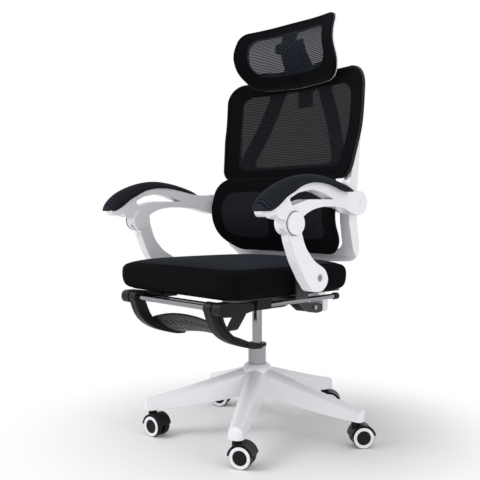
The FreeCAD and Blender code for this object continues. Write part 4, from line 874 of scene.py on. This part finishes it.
def painted_gap_shade(side, body):
    """Flat black ring round the neck between barrel and disc: painted shade where the gap lies in shadow."""
    rows = []
    for radius, shift in PAINTED_GAP_SHADE_SECTION:
        row = []
        for k in range(PAINTED_GAP_SHADE_POINTS):
            turn = 2.0 * math.pi * k / PAINTED_GAP_SHADE_POINTS
            row.append(Vector((side * (PAINTED_GAP_SHADE_X + shift * MM), KNOB_Y + radius * MM * math.cos(turn),
                               KNOB_Z + radius * MM * math.sin(turn))))
        rows.append(row)
    threads = [[(0.0, 0.0, 0.0)] * PAINTED_GAP_SHADE_POINTS for _ in rows]
    ring = net("disc_painted_gap_shade_" + body, rows, threads, False, False)
    # Black nylon standing in for the shadow in the gap: painted shade.
    ring.data.materials.append(NYLON_BLACK)
    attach(ring, body)
    print("gasket on", body, ":", len(ring.data.vertices), "points")


for side_sign, arm_body in ((1, "arm_l"), (-1, "arm_r")):
    painted_gap_shade(side_sign, arm_body)

# %% [markdown]
# The headrest's cover is gathered in the middle of its lower band, where five short folds stand upright.
# They could be waves in the band's own net, but its points are too far apart for folds this narrow. So
# each is a thin tube in the band's knit that lies on the band and tapers to both ends.

# %% Pleats
PLEATS = 5
PLEAT_PITCH = 7.5 * MM
PLEAT_FOOT = 6            # mm above the mesh's lower edge
PLEAT_HEIGHT = 26         # mm
PLEAT_STEPS = 16
PLEAT_RADIUS = 1.3 * MM
PLEAT_TIP = 0.1 * MM      # radius at either end
TUBE_POINTS = 12


def tube(name, line, finish):
    """Tube along points that each have their own radius, for lines that run mostly upright."""
    rows, threads = [], []
    for point, radius in line:
        turns = [2.0 * math.pi * k / TUBE_POINTS for k in range(TUBE_POINTS)]
        rows.append([point + Vector((math.cos(t), math.sin(t), 0.0)) * radius for t in turns])
        threads.append([(point.z, 0.0, 0.0)] * TUBE_POINTS)
    piece = net(name, rows, threads, True, True)
    piece.data.materials.append(finish)
    return piece


def pleats():
    """Upright folds in the middle of the headrest's lower band."""
    low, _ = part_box("headrest_mesh")
    tree = surface_of(frame["nodes"]["headrest_mesh"])
    for k in range(PLEATS):
        x = (k - PLEATS // 2) * PLEAT_PITCH
        line = []
        for i in range(PLEAT_STEPS + 1):
            share = i / PLEAT_STEPS
            z = low[2] + (PLEAT_FOOT + PLEAT_HEIGHT * share) * MM
            hit = front_of(tree, x, z)
            if hit is not None:
                line.append((Vector((x, hit.y, z)), PLEAT_RADIUS * math.sin(math.pi * share) + PLEAT_TIP))
        fold = tube("headrest_pleat_%d" % (k + 1), line, BAND_KNIT)
        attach(fold, "headrest")
    print("pleats:", PLEATS)


pleats()

# %% [markdown]
# The photograph is taken from the sitter's left front, almost level, from two metres away. The camera
# could be placed by eye, but then every other size would be judged askew. These values come from fitting
# the outlines of the base, the seat and the back to it.

# %% Camera
AZIMUTH = math.radians(47.13)
PITCH = math.radians(2.39)
DISTANCE = 2.017        # metres from the chair's middle
ASIDE = -0.049          # metres to the camera's right
EYE_HEIGHT = 0.63       # metres above the floor
FOCAL_PIXELS = 710.4
FRAME_PIXELS = 480.0    # width of the frame
SENSOR = 36.0           # mm


def make_camera():
    """Camera at the photograph's place, with its lens."""
    back = Vector((math.sin(AZIMUTH), -math.cos(AZIMUTH), 0.0))
    right = Vector((math.cos(AZIMUTH), math.sin(AZIMUTH), 0.0))
    look = -back * math.cos(PITCH) - Vector((0.0, 0.0, math.sin(PITCH)))
    lens = bpy.data.cameras.new("camera")
    lens.sensor_width = SENSOR
    lens.lens = SENSOR * FOCAL_PIXELS / FRAME_PIXELS
    camera = bpy.data.objects.new("camera", lens)
    bpy.context.scene.collection.objects.link(camera)
    camera.location = back * DISTANCE + right * ASIDE + Vector((0.0, 0.0, EYE_HEIGHT))
    camera.rotation_mode = "QUATERNION"
    camera.rotation_quaternion = look.to_track_quat("-Z", "Y")
    bpy.context.scene.camera = camera
    print("lens", round(lens.lens, 2), "mm at", [round(c, 3) for c in camera.location])


make_camera()

# %% [markdown]
# The light is a white studio: a bright surround, one large soft lamp from the upper left, a weak one low
# beside the camera and one from the right. A white backdrop could be lit until it is white, but that
# would bleach the chair. So the surround is full white only to the camera, to gloss and through glass,
# and lights the chair with less. The floor keeps the shadow near the casters and fades to white further out.

# %% Light and floor
SKY_DIFFUSE = 0.54     # strength of the surround as a light
FADE_START = 0.3       # metres from the chair's middle
FADE_END = 0.8
FLOOR_HALF = 6.0       # half its side, in metres


def make_world():
    """White surround that lights the chair less than it shows."""
    world = bpy.data.worlds.new("studio")
    bpy.context.scene.world = world
    world.use_nodes = True
    path = add_node(world, "ShaderNodeLightPath")
    seen = path.outputs["Is Camera Ray"]
    for ray in ("Is Glossy Ray", "Is Transmission Ray"):
        either = add_node(world, "ShaderNodeMath", {0: seen, 1: path.outputs[ray]}, operation="MAXIMUM")
        seen = either.outputs["Value"]
    strength = add_node(world, "ShaderNodeMapRange", {"Value": seen, "To Min": SKY_DIFFUSE, "To Max": 1.0})
    shader = world.node_tree.nodes["Background"]
    shader.inputs["Color"].default_value = linear("#FFFFFF")
    join(world, strength.outputs["Result"], shader.inputs["Strength"])


def soft_lamp(name, place, target, size, watts):
    """Square area lamp that looks at a point."""
    light = bpy.data.lights.new(name, "AREA")
    light.shape = "SQUARE"
    light.size = size
    light.energy = watts
    lamp = bpy.data.objects.new(name, light)
    bpy.context.scene.collection.objects.link(lamp)
    lamp.location = place
    lamp.rotation_mode = "QUATERNION"
    lamp.rotation_quaternion = (Vector(target) - Vector(place)).to_track_quat("-Z", "Y")
    print(name, ":", watts, "W,", size, "m wide")


def make_floor():
    """Pale floor that takes the chair's shadow and is white to the camera."""
    mesh = bpy.data.meshes.new("floor")
    corners = [(-FLOOR_HALF, -FLOOR_HALF, 0.0), (FLOOR_HALF, -FLOOR_HALF, 0.0),
               (FLOOR_HALF, FLOOR_HALF, 0.0), (-FLOOR_HALF, FLOOR_HALF, 0.0)]
    mesh.from_pydata(corners, [], [(0, 1, 2, 3)])
    floor = bpy.data.objects.new("floor", mesh)
    bpy.context.scene.collection.objects.link(floor)
    material, shader = start_material("matt_white_floor", Roughness=0.9, Base_Color=linear("#FDFDFD"),
                                      Specular_IOR_Level=0.0)
    place = add_node(material, "ShaderNodeTexCoord").outputs["Object"]
    away = add_node(material, "ShaderNodeVectorMath", {0: place}, operation="LENGTH")
    fade = add_node(material, "ShaderNodeMapRange",
                    {"Value": away.outputs["Value"], "From Min": FADE_START, "From Max": FADE_END},
                    interpolation_type="SMOOTHSTEP")
    path = add_node(material, "ShaderNodeLightPath")
    seen = add_node(material, "ShaderNodeMath",
                    {0: path.outputs["Is Camera Ray"], 1: path.outputs["Is Glossy Ray"]},
                    operation="MAXIMUM")
    share = add_node(material, "ShaderNodeMath", {0: fade.outputs["Result"], 1: seen.outputs["Value"]},
                     operation="MULTIPLY")
    glow = add_node(material, "ShaderNodeEmission", {"Color": linear("#FFFFFF"), "Strength": 1.0})
    blend = add_node(material, "ShaderNodeMixShader", {"Fac": share.outputs["Value"]})
    join(material, shader.outputs["BSDF"], blend.inputs[1])
    join(material, glow.outputs["Emission"], blend.inputs[2])
    surface = material.node_tree.nodes["Material Output"].inputs["Surface"]
    join(material, blend.outputs["Shader"], surface)
    mesh.materials.append(material)


make_world()
soft_lamp("key_lamp", place=(-1.2, -2.2, 2.4), target=(0.0, 0.0, 0.6), size=1.8, watts=45.0)
soft_lamp("fill_lamp", place=(1.9, -1.3, 0.7), target=(0.0, 0.0, 0.4), size=1.6, watts=9.0)
soft_lamp("side_lamp", place=(2.6, 0.2, 1.6), target=(0.0, 0.0, 0.6), size=1.4, watts=11.0)
make_floor()

# The standard view keeps a full white at full white; the filmic ones would turn it grey.
bpy.context.scene.view_settings.view_transform = "Standard"
